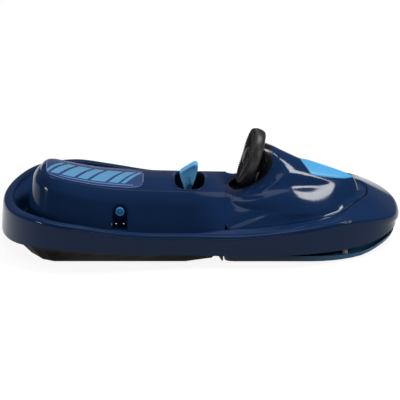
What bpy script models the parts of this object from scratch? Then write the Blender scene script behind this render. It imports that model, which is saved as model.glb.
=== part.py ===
"""A child's plastic steering sled: a moulded seat tub on a black base pan, a wide front ski
turned by a steering wheel, and a hand brake whose two claws swing down through the pan.

Units are metres. X runs from the rear end to the nose, Y to the left, Z up from the snow.
Stations along the sled are measured from its rear end, and px() moves them into the part's
frame, whose origin lies on the ground in the middle of the sled.
"""

import math

import bmesh
import bpy
import numpy as np
from mathutils import Matrix, Vector
from mathutils.bvhtree import BVHTree

# Overall size
LENGTH = 1.050
REAR_HALF_WIDTH = 0.268
FRONT_HALF_WIDTH = 0.238
SHELL_WALL = 0.0035
GAP = 0.0004
CUT_PAST = 0.010
CUT_REACH = 0.030

# Rim and skirt of the upper shell
REAR_ROUND = 0.250
NOSE_ROUND = 0.330
NOSE_SWEEP = 1.65
NOSE_BLUNTNESS = 0.43
WAIST_START = 0.250
WAIST_END = 0.550
SKIRT_DRAFT = 0.004
NOSE_TUCK = 0.012
RIM_EDGE_ROUND = 0.006
RIM_WIDTH = 0.026
FENDER_WIDTH = 0.062
FENDER_START = 0.500
FENDER_FULL = 0.620
NOSE_BAND_WIDTH = 0.085
NOSE_RISE = 0.024
NOSE_RISE_START = 0.880
RIM_LINE = ((0.0, 0.106), (0.10, 0.122), (0.19, 0.119), (0.27, 0.107), (0.40, 0.091),
            (0.60, 0.083), (0.80, 0.099), (0.86, 0.103), (0.92, 0.1015), (0.986, 0.095),
            (1.033, 0.082), (LENGTH, 0.070))
SKIRT_LINE = ((0.0, 0.027), (0.12, 0.051), (0.19, 0.053), (0.40, 0.038), (0.60, 0.030),
              (0.95, 0.032), (LENGTH, 0.043))

# Foot wells, seat hump and front deck
WELL_FLOOR = 0.0355
WELL_REAR_RISE = 0.022
WELL_WALL_RUN = 0.031
WELL_FRONT = 0.612
WELL_CORNER = 0.060
WELL_LIP_DROP = 0.022
LEDGE_DROP = 0.012
DECK_HEIGHT = 0.072
TOE_RAMP_START = 0.485
TOE_RAMP_END = 0.592
HUMP_REAR = 0.076
HUMP_FRONT = 0.5885
HUMP_INSET = 0.122
HUMP_BASE_HALF = REAR_HALF_WIDTH - HUMP_INSET
HUMP_LEAN = 0.040
HUMP_SHOULDER_HALF = HUMP_BASE_HALF - HUMP_LEAN
SHOULDER_SETBACK = 0.026
SEAT_EDGE_HALF = HUMP_SHOULDER_HALF - SHOULDER_SETBACK
SHOULDER_DROP = 0.036
SEAT_EDGE_DROP = 0.009
FLARE_START = 0.470
FLARE_END = 0.585
FOOT_FLARE = 0.020
SHOULDER_FLARE = 0.010
CREST_LINE = ((0.0, 0.200), (0.11, 0.196), (0.18, 0.181), (0.26, 0.167), (0.36, 0.161),
              (0.50, 0.158), (HUMP_FRONT, 0.156))

# Base pan
PAN_WALL = 0.0035
PAN_REAR = 0.056
PAN_CHINE_INSET = 0.068
PAN_BOTTOM_HALF = REAR_HALF_WIDTH - PAN_CHINE_INSET
PAN_OVERLAP = 0.010
PAN_GAP = 0.001
PAN_FRONT_INSET = 0.030
PAN_SWEEP_START = 0.495
PAN_SWEEP_END = 0.575
PAN_SWEEP = 0.014
BAY_CEILING = 0.028

# Screws that hold the shell on the pan
SCREW_STATIONS = (0.165, 0.300, 0.440)
SCREW_OFFSET = 0.030
SCREW_HALF_SPAN = HUMP_BASE_HALF + SCREW_OFFSET
SCREW_BOSS_RADIUS = 0.0080
SCREW_BOSS_TOP = 0.013
SCREW_SHANK_RADIUS = 0.0021
SCREW_HEAD_RADIUS = 0.0042
SCREW_HEAD_HEIGHT = 0.0030
SCREW_HEAD_SEAT = 0.0070
SCREW_CLEARANCE = 0.0004
SCREW_COVER = 0.0055
SCREW_TIP_ROOM = 0.0015

# Steering gear
WHEEL_X = 0.657
WHEEL_Z = 0.220
COLUMN_TILT = math.radians(18)
WHEEL_RADIUS = 0.0785
WHEEL_RIM_RADIAL = 0.0105
WHEEL_RIM_AXIAL = 0.0200
WHEEL_HUB_RADIUS = 0.024
WHEEL_HUB_LENGTH = 0.030
SPOKE_WIDTH = 0.022
SPOKE_THICKNESS = 0.010
COLUMN_RADIUS = 0.0070
COLUMN_REACH = 0.092
COLUMN_CLEARANCE = 0.0004
COLUMN_BUSH_NEAR = 0.034
COLUMN_BUSH_FAR = 0.060
CRANK_RADIUS = 0.030
CRANK_THICKNESS = 0.007
CRANK_PIN_RADIUS = 0.0040
CRANK_PIN_LENGTH = 0.022
COLUMN_BRACKET_X = 0.7215
COLUMN_BRACKET_THICKNESS = 0.006
COLUMN_BRACKET_HALF = 0.030
BRACKET_EYE_HALF = 0.014
BRACKET_TOP_HALF = 0.009
BRACKET_SHOULDER = 0.020
BRACKET_FOOT = 0.004

# Kingpin, tiller and ski
KINGPIN_X = 0.815
KINGPIN_RADIUS = 0.0070
KINGPIN_TOP = 0.126
KINGPIN_HEAD_RADIUS = 0.0130
KINGPIN_HEAD_HEIGHT = 0.0040
KINGPIN_HEAD_LOW = 0.0025
KINGPIN_CLEARANCE = 0.0004
NUT_RADIUS = 0.012
NUT_HEIGHT = 0.009
BUSH_WALL = 0.0040
BUSH_FLANGE = 0.0050
BUSH_FLANGE_HEIGHT = 0.0025
TILLER_REACH = 0.068
TILLER_WIDTH = 0.016
TILLER_HUB_RADIUS = 0.014
TILLER_HEIGHT = 0.098
TILLER_THICKNESS = 0.006
FORK_GAP = 0.0125
FORK_PRONG = 0.009
FORK_THICKNESS = 0.006
TILLER_HUB_RISE = 0.006
FORK_SLOT_BOTTOM = 0.146
FORK_TOP = 0.180
SKI_HALF_WIDTH = 0.2130
SKI_NOSE_RADIUS = 0.2220
SKI_REAR = 0.5835
SKI_CORNER = 0.018
SKI_WALL_HEIGHT = 0.019
SKI_NOSE_WALL_HEIGHT = 0.012
SKI_PLATE = 0.0045
SKI_WALL = 0.0040
SKI_TIP_LIFT = 0.015
SKI_LIFT_START = 0.935
SKI_HUB_RADIUS = 0.042
SKI_TAIL_LENGTH = 0.016
GLIDE_X = 0.905
GLIDE_Y = 0.150
GLIDE_RADIUS = 0.008
GLIDE_TIP_RADIUS = 0.005
BAY_CLEARANCE = 0.009

# Brake lever, its housing and the link
LEVER_X = 0.490
LEVER_Z = 0.112
LEVER_HUB_RADIUS = 0.011
LEVER_THICKNESS = 0.030
LEVER_ARM_THICKNESS = 0.010
LEVER_PIN_RADIUS = 0.0040
LINK_DROP = 0.032
POCKET_REAR = 0.456
POCKET_FRONT = 0.532
POCKET_HALF = 0.048
POCKET_CORNER = 0.018
HOUSING_WALL = 0.0030
HOUSING_TOP = 0.1475
HOUSING_FLOOR = 0.096
LINK_WIDTH = 0.012
LINK_THICKNESS = 0.005
LINK_PIN_RADIUS = 0.0030
PIN_CLEARANCE = 0.0004
LINK_OPEN_CLEARANCE = 0.0010

# Brake shaft, claws and side knobs
BRAKE_X = 0.310
BRAKE_Z = 0.1060
BRAKE_SHAFT_RADIUS = 0.0060
NICHE_DEPTH = 0.045
NICHE_BACK = HUMP_BASE_HALF - NICHE_DEPTH
CLAW_INSET = 0.026
CLAW_HALF_SPAN = NICHE_BACK - CLAW_INSET
CLAW_THICKNESS = 0.010
CLAW_REACH = 0.092
CLAW_TIP_HEIGHT = 0.007
CLAW_WIDTH = 0.020
CLAW_SLOT_MARGIN = 0.006
KNOB_RADIUS = 0.0120
KNOB_LENGTH = 0.009
KNOB_DISH = 0.003
NICHE_HALF = 0.0215
NICHE_WALL = 0.0025
NICHE_BOTTOM = 0.060
NICHE_TOP = 0.1270
SLOT_OFFSET = 0.010
SLOT_HALF = 0.0015
SLOT_BOTTOM = 0.068
SLOT_TOP = 0.088

# Hood, from its base line up to the lip of the cockpit around the wheel
HOOD_WALL = 0.0032
HOOD_REAR = 0.590
HOOD_CORNER_X = 0.606
HOOD_FULL = 0.660
HOOD_SEAT_GAP = 0.0050
HOOD_SILL = 0.137
HOOD_SKIRT = 0.008
HOOD_DRAWN_FRONT = 0.960
CREASE_LINE = ((0.592, 0.0, 0.139), (0.600, 0.074, 0.137), (0.632, 0.123, 0.130),
               (0.700, 0.147, 0.128), (0.777, 0.157, 0.118), (0.846, 0.132, 0.118),
               (0.902, 0.080, 0.125), (0.941, 0.0, 0.132))
DOME_LINE = ((0.5935, 0.0, 0.141), (0.6025, 0.067, 0.1385), (0.629, 0.106, 0.1385),
             (0.664, 0.122, 0.146), (0.708, 0.123, 0.159), (0.760, 0.113, 0.171),
             (0.818, 0.080, 0.180), (0.880, 0.052, 0.179), (0.922, 0.0, 0.170))
BROW_LINE = ((0.5945, 0.0, 0.142), (0.6045, 0.062, 0.139), (0.627, 0.094, 0.1425),
             (0.657, 0.106, 0.150), (0.692, 0.104, 0.165), (0.726, 0.091, 0.187),
             (0.757, 0.066, 0.205), (0.782, 0.030, 0.2135), (0.792, 0.0, 0.212))
LIP_LINE = ((0.5955, 0.0, 0.1425), (0.610, 0.056, 0.140), (0.630, 0.085, 0.1465),
            (0.655, 0.091, 0.153), (0.682, 0.087, 0.164), (0.704, 0.078, 0.178),
            (0.721, 0.063, 0.200), (0.730, 0.042, 0.223), (0.732, 0.020, 0.236),
            (0.731, 0.0, 0.240))
COLLAR_LINE = ((0.5970, 0.0, 0.1420), (0.614, 0.048, 0.1405), (0.634, 0.074, 0.150),
               (0.654, 0.079, 0.161), (0.674, 0.075, 0.174), (0.690, 0.068, 0.187),
               (0.701, 0.058, 0.204), (0.704, 0.044, 0.225), (0.698, 0.024, 0.249),
               (0.693, 0.0, 0.259))
POD_LINE = ((0.6025, 0.0, 0.1300), (0.618, 0.041, 0.128), (0.636, 0.064, 0.130),
            (0.656, 0.069, 0.138), (0.676, 0.065, 0.152), (0.692, 0.056, 0.170),
            (0.703, 0.044, 0.190), (0.709, 0.026, 0.211), (0.708, 0.0, 0.222))
FLOOR_LINE = ((0.610, 0.0, 0.1260), (0.620, 0.034, 0.125), (0.634, 0.056, 0.125),
              (0.650, 0.062, 0.125), (0.663, 0.060, 0.126), (0.672, 0.052, 0.128),
              (0.677, 0.038, 0.130), (0.679, 0.022, 0.131), (0.680, 0.0, 0.132))
INSERT_LINE = ((0.789, 0.0), (0.818, 0.060), (0.850, 0.058), (0.886, 0.046), (0.925, 0.0))
INSERT_THICKNESS = 0.0024
INSERT_GAP = 0.0024

# Mesh resolution
SIDE_COLUMNS = 14
FRONT_COLUMNS = 12
HOOD_CROSSING_COLUMNS = 8
ROUND_SIDES = 14
WHEEL_SEGMENTS = 36

COLOURS = {
    "shell_blue": ((0.010, 0.030, 0.110), 0.12, 0.0),
    "light_blue": ((0.075, 0.400, 0.740), 0.30, 0.0),
    "ski_blue": ((0.060, 0.200, 0.340), 0.35, 0.0),
    "black_plastic": ((0.012, 0.012, 0.013), 0.50, 0.0),
    "steel": ((0.560, 0.570, 0.580), 0.30, 1.0),
    "bush_plastic": ((0.700, 0.690, 0.640), 0.45, 0.0),
}


def px(station):
    """A station measured from the rear end, in the part's frame."""
    return station - LENGTH / 2


def smooth(start, end, value):
    t = min(max((value - start) / (end - start), 0.0), 1.0)
    return t * t * (3 - 2 * t)


def hermite(points, value):
    """A smooth curve through (station, height) points, without overshoot."""
    xs = np.array([p[0] for p in points])
    ys = np.array([p[1] for p in points])
    slopes = np.diff(ys) / np.diff(xs)
    tangents = np.zeros(len(xs))
    for i in range(1, len(xs) - 1):
        if slopes[i - 1] * slopes[i] > 0:
            tangents[i] = 2 * slopes[i - 1] * slopes[i] / (slopes[i - 1] + slopes[i])
    tangents[0], tangents[-1] = slopes[0], slopes[-1]
    i = int(np.clip(np.searchsorted(xs, value) - 1, 0, len(xs) - 2))
    h = xs[i + 1] - xs[i]
    t = min(max((value - xs[i]) / h, 0.0), 1.0)
    a = (1 + 2 * t) * (1 - t) ** 2
    b = t * (1 - t) ** 2
    c = t * t * (3 - 2 * t)
    d = t * t * (t - 1)
    return float(a * ys[i] + b * h * tangents[i] + c * ys[i + 1] + d * h * tangents[i + 1])


def through(points, count):
    """Points spread evenly by chord along a smooth curve through 3-D points."""
    p = [Vector(q) for q in points]
    p = [2 * p[0] - p[1]] + p + [2 * p[-1] - p[-2]]
    p[0].x, p[-1].x = p[2].x, p[-3].x
    fine = []
    for i in range(1, len(p) - 2):
        for k in range(12):
            t = k / 12
            fine.append(0.5 * (2 * p[i] + (p[i + 1] - p[i - 1]) * t
                               + (2 * p[i - 1] - 5 * p[i] + 4 * p[i + 1] - p[i + 2]) * t * t
                               + (3 * p[i] - p[i - 1] - 3 * p[i + 1] + p[i + 2]) * t ** 3))
    fine.append(p[-2])
    steps = np.cumsum([0.0] + [(b - a).length for a, b in zip(fine, fine[1:])])
    out = []
    for want in np.linspace(0.0, steps[-1], count):
        i = int(np.clip(np.searchsorted(steps, want) - 1, 0, len(fine) - 2))
        f = (want - steps[i]) / (steps[i + 1] - steps[i])
        out.append(fine[i].lerp(fine[i + 1], float(f)))
    out[0].y = out[-1].y = 0.0
    return out


def rim_half(station):
    """Half the width over the rim at a station."""
    half = REAR_HALF_WIDTH + (FRONT_HALF_WIDTH - REAR_HALF_WIDTH) * smooth(
        WAIST_START, WAIST_END, station)
    if station < REAR_ROUND:
        t = (REAR_ROUND - station) / REAR_ROUND
        half *= math.sqrt(max(1 - t ** 2.3, 0.0))
    nose = LENGTH - NOSE_ROUND
    if station > nose:
        t = (station - nose) / NOSE_ROUND
        half *= max(1 - t ** NOSE_SWEEP, 0.0) ** NOSE_BLUNTNESS
    return half


def rim_width(station):
    """Width of the rim's top, which opens into the front fender and the nose."""
    width = RIM_WIDTH + (FENDER_WIDTH - RIM_WIDTH) * smooth(FENDER_START, FENDER_FULL, station)
    return width + (NOSE_BAND_WIDTH - FENDER_WIDTH) * smooth(LENGTH - 0.2, LENGTH, station)


def rim_height(station):
    return hermite(RIM_LINE, station)


def seat_height(station):
    """Height of the line on which the hood sits, which climbs from the rim at the nose."""
    return rim_height(station) + NOSE_RISE * smooth(NOSE_RISE_START, LENGTH - NOSE_BAND_WIDTH,
                                                    station)


def skirt_height(station):
    return hermite(SKIRT_LINE, station)


def skirt_inset(station):
    """How far the skirt's edge lies inside the rim: it flares out, but tucks in at the nose."""
    return NOSE_TUCK * smooth(NOSE_RISE_START, LENGTH, station) - SKIRT_DRAFT


def crest_height(station):
    return hermite(CREST_LINE, station)


def hull_station(u):
    """Station of column parameter u, 0 at the rear end and 1 at the nose, close at both ends."""
    split = SIDE_COLUMNS / (SIDE_COLUMNS + FRONT_COLUMNS)
    if u < split:
        return WELL_FRONT * (1 - math.cos(math.pi / 2 * u / split))
    return WELL_FRONT + (LENGTH - WELL_FRONT) * math.sin(math.pi / 2 * (u - split) / (1 - split))


def hull_point(u, inset):
    """A point of the rim's outline in plan, moved inward by inset."""
    station = hull_station(u)
    if u <= 0 or u >= 1:
        return (inset if u <= 0 else LENGTH - inset), 0.0
    step = 1e-4
    a, b = max(station - step, 0.0), min(station + step, LENGTH)
    along, across = b - a, rim_half(b) - rim_half(a)
    size = math.hypot(along, across)
    return station + inset * across / size, max(rim_half(station) - inset * along / size, 0.0)


def hull_ring(inset, height):
    """One half of a ring that follows the rim; inset and height are functions of the station."""
    ring = []
    columns = SIDE_COLUMNS + FRONT_COLUMNS
    for k in range(columns + 1):
        u = k / columns
        x, y = hull_point(u, inset(hull_station(u)))
        ring.append((x, y, height(x)))
    return ring


def well_ring(rear, front, half, height, corner, rear_round=0.12):
    """One half of a ring round the wells or the hump, round at the rear and square in front."""
    ring = []
    side_end = front - corner
    for k in range(SIDE_COLUMNS + 1):
        x = rear + (side_end - rear) * (1 - math.cos(math.pi / 2 * k / SIDE_COLUMNS))
        y = half(x)
        if x < rear + rear_round:
            t = (rear + rear_round - x) / rear_round
            y *= max(1 - t ** 2.3, 0.0) ** 0.45
        ring.append((x, y, height(x, y)))
    wide = half(side_end)
    for k in range(1, FRONT_COLUMNS + 1):
        t = math.pi / 2 * k / FRONT_COLUMNS
        x = side_end + corner * math.sin(t) ** 0.6
        y = wide * math.cos(t) ** 0.6 if k < FRONT_COLUMNS else 0.0
        ring.append((x, y, height(x, y)))
    return ring


def between(a, b, t, lift=0.0):
    """A ring part way from ring a to ring b, raised by lift at its middle."""
    out = []
    for p, q in zip(a, b):
        out.append((p[0] + (q[0] - p[0]) * t, p[1] + (q[1] - p[1]) * t,
                    p[2] + (q[2] - p[2]) * t + lift * 4 * t * (1 - t)))
    return out


def material(name):
    found = bpy.data.materials.get(name)
    if found:
        return found
    colour, roughness, metallic = COLOURS[name]
    made = bpy.data.materials.new(name)
    made.use_nodes = True
    shader = made.node_tree.nodes["Principled BSDF"]
    shader.inputs["Base Color"].default_value = (*colour, 1.0)
    shader.inputs["Roughness"].default_value = roughness
    shader.inputs["Metallic"].default_value = metallic
    made.diffuse_color = (*colour, 1.0)
    return made


def add_object(name, bm, finish, origin=(0.0, 0.0, 0.0), sharp=math.radians(35)):
    """Closes a bmesh into a named object whose origin lies at the given point."""
    bmesh.ops.remove_doubles(bm, verts=bm.verts, dist=1e-6)
    bmesh.ops.recalc_face_normals(bm, faces=bm.faces)
    bmesh.ops.translate(bm, verts=bm.verts, vec=-Vector(origin))
    mesh = bpy.data.meshes.new(name)
    bm.to_mesh(mesh)
    bm.free()
    mesh.shade_smooth()
    mesh.set_sharp_from_angle(angle=sharp)
    obj = bpy.data.objects.new(name, mesh)
    obj.location = origin
    if finish:
        mesh.materials.append(material(finish))
    bpy.context.scene.collection.objects.link(obj)
    return obj


def add_cutter(name, bm):
    cutter = add_object(name, bm, None)
    cutter.hide_render = True
    cutter.display_type = "WIRE"
    return cutter


def boolean(obj, cutter, operation="DIFFERENCE", crossing=False):
    step = obj.modifiers.new(cutter.name, "BOOLEAN")
    step.operation = operation
    step.solver = "EXACT"
    step.object = cutter
    step.use_self = crossing


def solidify(obj, thickness):
    wall = obj.modifiers.new("Wall", "SOLIDIFY")
    wall.thickness = thickness
    wall.offset = -1
    wall.use_even_offset = True
    wall.use_quality_normals = True


def loft_halves(rings):
    """Skins half rings, mirrors them across the middle plane and leaves the ends open."""
    bm = bmesh.new()
    for side in (1, -1):
        rows = [[bm.verts.new((px(x), side * y, z)) for x, y, z in ring] for ring in rings]
        for a, b in zip(rows, rows[1:]):
            for i in range(len(a) - 1):
                bm.faces.new((a[i], a[i + 1], b[i + 1], b[i]) if side > 0
                             else (a[i + 1], a[i], b[i], b[i + 1]))
    bmesh.ops.remove_doubles(bm, verts=bm.verts, dist=1e-6)
    bmesh.ops.dissolve_degenerate(bm, edges=bm.edges, dist=1e-7)
    bmesh.ops.recalc_face_normals(bm, faces=bm.faces)
    return bm


def whole_loop(half_ring):
    """A closed loop from one half ring."""
    near = [(px(x), y, z) for x, y, z in half_ring]
    far = [(x, -y, z) for x, y, z in near[1:-1]]
    return near + far[::-1]


def loft_loops(loops):
    """Skins closed loops into a solid with a flat cap at each end."""
    bm = bmesh.new()
    rows = [[bm.verts.new(p) for p in loop] for loop in loops]
    for a, b in zip(rows, rows[1:]):
        for i in range(len(a)):
            j = (i + 1) % len(a)
            bm.faces.new((a[i], a[j], b[j], b[i]))
    bm.faces.new(rows[0][::-1])
    bm.faces.new(rows[-1])
    bmesh.ops.triangulate(bm, faces=[f for f in bm.faces if len(f.verts) > 4])
    return bm


def turned(profile, sides=ROUND_SIDES, matrix=None):
    """Turns an (r, z) profile, listed from its lower end to its upper end, into a solid."""
    loops = []
    for r, z in profile:
        loops.append([Vector((r * math.cos(2 * math.pi * k / sides),
                              r * math.sin(2 * math.pi * k / sides), z)) for k in range(sides)])
    bm = loft_loops(loops)
    if matrix:
        bmesh.ops.transform(bm, matrix=matrix, verts=bm.verts)
    return bm


def tube_ring(inner, outer, low, high, sides=ROUND_SIDES, matrix=None, flange=0.0, lip=0.0):
    """A ring with a bore along Z, and a flange of the given reach and height at its top."""
    profile = [(inner, low), (outer, low)]
    if flange:
        profile += [(outer, high - lip), (outer + flange, high - lip), (outer + flange, high)]
    else:
        profile += [(outer, high)]
    profile += [(inner, high)]
    bm = bmesh.new()
    rows = [[bm.verts.new((r * math.cos(2 * math.pi * k / sides),
                           r * math.sin(2 * math.pi * k / sides), z)) for k in range(sides)]
            for r, z in profile]
    for n, a in enumerate(rows):
        b = rows[(n + 1) % len(rows)]
        for i in range(sides):
            j = (i + 1) % sides
            bm.faces.new((a[i], a[j], b[j], b[i]))
    if matrix:
        bmesh.ops.transform(bm, matrix=matrix, verts=bm.verts)
    return bm


def prism(outline, low, high, axis="Z"):
    """Pushes a 2-D outline along an axis: (x, y) along Z, or (x, z) along Y."""
    if axis == "Z":
        loops = [[(x, y, level) for x, y in outline] for level in (low, high)]
    elif axis == "Y":
        loops = [[(x, level, z) for x, z in outline] for level in (low, high)]
    else:
        loops = [[(level, y, z) for y, z in outline] for level in (low, high)]
    return loft_loops(loops)


def rounded_box(x0, x1, half, corner, low, high, steps=4):
    """A block with upright rounded corners, centred on the middle plane."""
    outline = []
    centres = ((x1 - corner, half - corner, 0), (x0 + corner, half - corner, 90),
               (x0 + corner, corner - half, 180), (x1 - corner, corner - half, 270))
    for cx, cy, start in centres:
        for k in range(steps + 1):
            angle = math.radians(start + 90 * k / steps)
            outline.append((cx + corner * math.cos(angle), cy + corner * math.sin(angle)))
    return prism(outline, low, high)


def merged(parts):
    """One bmesh that holds several solids."""
    whole = bmesh.new()
    for part in parts:
        mesh = bpy.data.meshes.new("piece")
        part.to_mesh(mesh)
        part.free()
        whole.from_mesh(mesh)
        bpy.data.meshes.remove(mesh)
    return whole


def along_y(x, z):
    """Places a solid made along Z so that it lies along Y at a station and height."""
    return Matrix.Translation((px(x), 0.0, z)) @ Matrix.Rotation(math.radians(-90), 4, "X")


def upright(x, y=0.0):
    return Matrix.Translation((px(x), y, 0.0))


def column_frame():
    """Local Z runs up the steering column to the driver, local X up the wheel's face."""
    back = Vector((-math.cos(COLUMN_TILT), 0.0, math.sin(COLUMN_TILT)))
    up = Vector((math.sin(COLUMN_TILT), 0.0, math.cos(COLUMN_TILT)))
    side = back.cross(up)
    turn = Matrix((up, side, back)).transposed().to_4x4()
    return Matrix.Translation((px(WHEEL_X), 0.0, WHEEL_Z)) @ turn


def screw_places():
    return [(s, side * SCREW_HALF_SPAN) for s in SCREW_STATIONS for side in (1, -1)]


def column_point(reach):
    """A point on the column's axis, reach metres forward of the wheel's centre."""
    return Vector((px(WHEEL_X) + reach * math.cos(COLUMN_TILT), 0.0,
                   WHEEL_Z - reach * math.sin(COLUMN_TILT)))


def bay_radius():
    """Radius round the kingpin that the ski's rear corners sweep, with clearance."""
    corner = math.hypot(KINGPIN_X - (SKI_REAR - SKI_TAIL_LENGTH), SKI_HALF_WIDTH)
    return corner + BAY_CLEARANCE


def well_height(station):
    """Height of the foot wells' floor, which rises towards the sled's rear end."""
    return WELL_FLOOR + WELL_REAR_RISE * smooth(0.20, 0.07, station)


def shell_rings():
    """Feature lines of the upper shell from the skirt's edge to the seat's crest."""
    def wall_height(x, y):
        rear = well_height(x)
        return rear + (DECK_HEIGHT - rear) * smooth(TOE_RAMP_START, TOE_RAMP_END, x)

    def edge_height(x, y):
        side = rim_height(x) - WELL_LIP_DROP
        return side + (DECK_HEIGHT - side) * smooth(FENDER_START, TOE_RAMP_END, x)

    def deck(x):
        side = rim_height(x) - LEDGE_DROP
        return side + (DECK_HEIGHT - side) * smooth(FENDER_START, FENDER_FULL, x)

    def inner(x):
        return rim_half(x) - rim_width(min(x, FENDER_START))

    def crest_less(drop):
        return lambda x, y: crest_height(x) - drop

    def flared(half, swing):
        return lambda x: half + swing * smooth(FLARE_START, FLARE_END, x)

    skirt = hull_ring(skirt_inset, skirt_height)
    outer = hull_ring(lambda s: 0.0, lambda s: rim_height(s) - RIM_EDGE_ROUND)
    top = hull_ring(lambda s: RIM_EDGE_ROUND, rim_height)
    inside = hull_ring(lambda s: rim_width(s) - RIM_EDGE_ROUND / 2,
                       lambda s: seat_height(s) + 0.001)
    ledge = hull_ring(lambda s: rim_width(s) + 0.001, lambda s: seat_height(s) - RIM_EDGE_ROUND)
    floor = hull_ring(lambda s: rim_width(s) + 0.0035, deck)
    edge = well_ring(RIM_WIDTH + 0.010, WELL_FRONT, lambda x: inner(x) - 0.010,
                     edge_height, WELL_CORNER, REAR_ROUND - 0.04)
    bottom = well_ring(RIM_WIDTH + 0.026, WELL_FRONT - 0.012,
                       lambda x: inner(x) - 0.004 - WELL_WALL_RUN, wall_height, WELL_CORNER,
                       REAR_ROUND - 0.07)
    base = well_ring(HUMP_REAR, HUMP_FRONT, flared(HUMP_BASE_HALF, FOOT_FLARE), wall_height,
                     0.030)
    shoulder = well_ring(HUMP_REAR + 0.012, HUMP_FRONT - 0.0015,
                         flared(HUMP_SHOULDER_HALF, SHOULDER_FLARE),
                         crest_less(SHOULDER_DROP), 0.020, 0.08)
    seat = well_ring(HUMP_REAR + 0.020, HUMP_FRONT - 0.0030, lambda x: SEAT_EDGE_HALF,
                     crest_less(SEAT_EDGE_DROP), 0.014, 0.05)
    crest = well_ring(HUMP_REAR + 0.030, HUMP_FRONT - 0.0045, lambda x: 0.0,
                      crest_less(0.0), 0.010, 0.04)
    return [skirt, outer, top, inside, ledge, floor, edge, bottom, base,
            between(base, shoulder, 0.6, 0.002), shoulder, between(shoulder, seat, 0.5, 0.003),
            seat, between(seat, crest, 0.5, 0.0015), crest]


def make_upper_shell():
    """The blue tub: skirt, rim, foot wells, seat hump and the deck under the hood."""
    shell = add_object("upper_shell", loft_halves(shell_rings()), "shell_blue")
    solidify(shell, SHELL_WALL)
    bosses = [turned(((SCREW_BOSS_RADIUS, SCREW_BOSS_TOP + GAP),
                      (SCREW_BOSS_RADIUS, well_height(x) - SHELL_WALL / 2)), 12, upright(x, y))
              for x, y in screw_places()]
    boolean(shell, add_cutter("shell_bosses", merged(bosses)), "UNION")
    cuts = [turned(((SCREW_SHANK_RADIUS + SCREW_CLEARANCE, 0.0),
                    (SCREW_SHANK_RADIUS + SCREW_CLEARANCE,
                     WELL_FLOOR - SCREW_COVER + SCREW_TIP_ROOM)), 8, upright(x, y))
            for x, y in screw_places()]
    cuts.append(rounded_box(px(POCKET_REAR), px(POCKET_FRONT), POCKET_HALF, POCKET_CORNER,
                            HOUSING_FLOOR, crest_height(POCKET_REAR) + CUT_REACH))
    cuts.append(turned(((bush_outer() + GAP, DECK_HEIGHT - CUT_PAST),
                        (bush_outer() + GAP, DECK_HEIGHT + CUT_PAST)), ROUND_SIDES,
                       upright(KINGPIN_X)))
    for side in (1, -1):
        cuts.append(prism(niche_outline(NICHE_HALF + GAP, 0.0), side * (NICHE_BACK - CUT_PAST),
                          side * (HUMP_BASE_HALF + CUT_REACH), "Y"))
    boolean(shell, add_cutter("shell_cuts", merged(cuts)))


def bush_outer():
    return KINGPIN_RADIUS + KINGPIN_CLEARANCE + BUSH_WALL


def niche_outline(half, inset):
    """Arch of the recess round a side knob, in (x, z)."""
    centre_z = NICHE_TOP - NICHE_HALF
    outline = [(px(BRAKE_X) - half, NICHE_BOTTOM - GAP + inset),
               (px(BRAKE_X) + half, NICHE_BOTTOM - GAP + inset)]
    for k in range(9):
        angle = math.pi * k / 8
        outline.append((px(BRAKE_X) + half * math.cos(angle), centre_z + half * math.sin(angle)))
    return outline


def make_niche(name, side):
    """The recess liner in the hump's side wall: back wall, arch and shaft bearing."""
    mouth = side * (HUMP_BASE_HALF + CUT_REACH)
    outer = prism(niche_outline(NICHE_HALF, GAP), side * NICHE_BACK, mouth, "Y")
    foot = Vector((0.0, side * HUMP_BASE_HALF, WELL_FLOOR))
    head = Vector((0.0, side * HUMP_SHOULDER_HALF, crest_height(BRAKE_X) - SHOULDER_DROP))
    slope = (head - foot).normalized()
    normal = Vector((0.0, slope.z, -slope.y)) * side
    geometry = outer.verts[:] + outer.edges[:] + outer.faces[:]
    cut = bmesh.ops.bisect_plane(outer, geom=geometry, plane_co=foot, plane_no=normal,
                                 clear_outer=True)
    rim = [e for e in cut["geom_cut"] if isinstance(e, bmesh.types.BMEdge)]
    bmesh.ops.holes_fill(outer, edges=rim)
    liner = add_object(name, outer, "shell_blue")
    inner = prism(niche_outline(NICHE_HALF - NICHE_WALL, NICHE_WALL),
                  side * (NICHE_BACK + NICHE_WALL), mouth, "Y")
    bearing = BRAKE_SHAFT_RADIUS + PIN_CLEARANCE
    behind, before = NICHE_BACK - CUT_PAST, NICHE_BACK + NICHE_WALL + CUT_PAST
    bore = turned(((bearing, behind), (bearing, before)), ROUND_SIDES,
                  along_y(BRAKE_X, BRAKE_Z))
    if side < 0:
        bmesh.ops.scale(bore, vec=(1, -1, 1), verts=bore.verts)
        bmesh.ops.reverse_faces(bore, faces=bore.faces)
    slots = []
    for offset in (-SLOT_OFFSET, SLOT_OFFSET):
        x = px(BRAKE_X) + offset
        slots.append(prism(((x - SLOT_HALF, SLOT_BOTTOM), (x + SLOT_HALF, SLOT_BOTTOM),
                            (x + SLOT_HALF, SLOT_TOP), (x - SLOT_HALF, SLOT_TOP)),
                           side * behind, side * before, "Y"))
    boolean(liner, add_cutter(name + "_cut", merged([inner, bore] + slots)), crossing=True)


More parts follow.
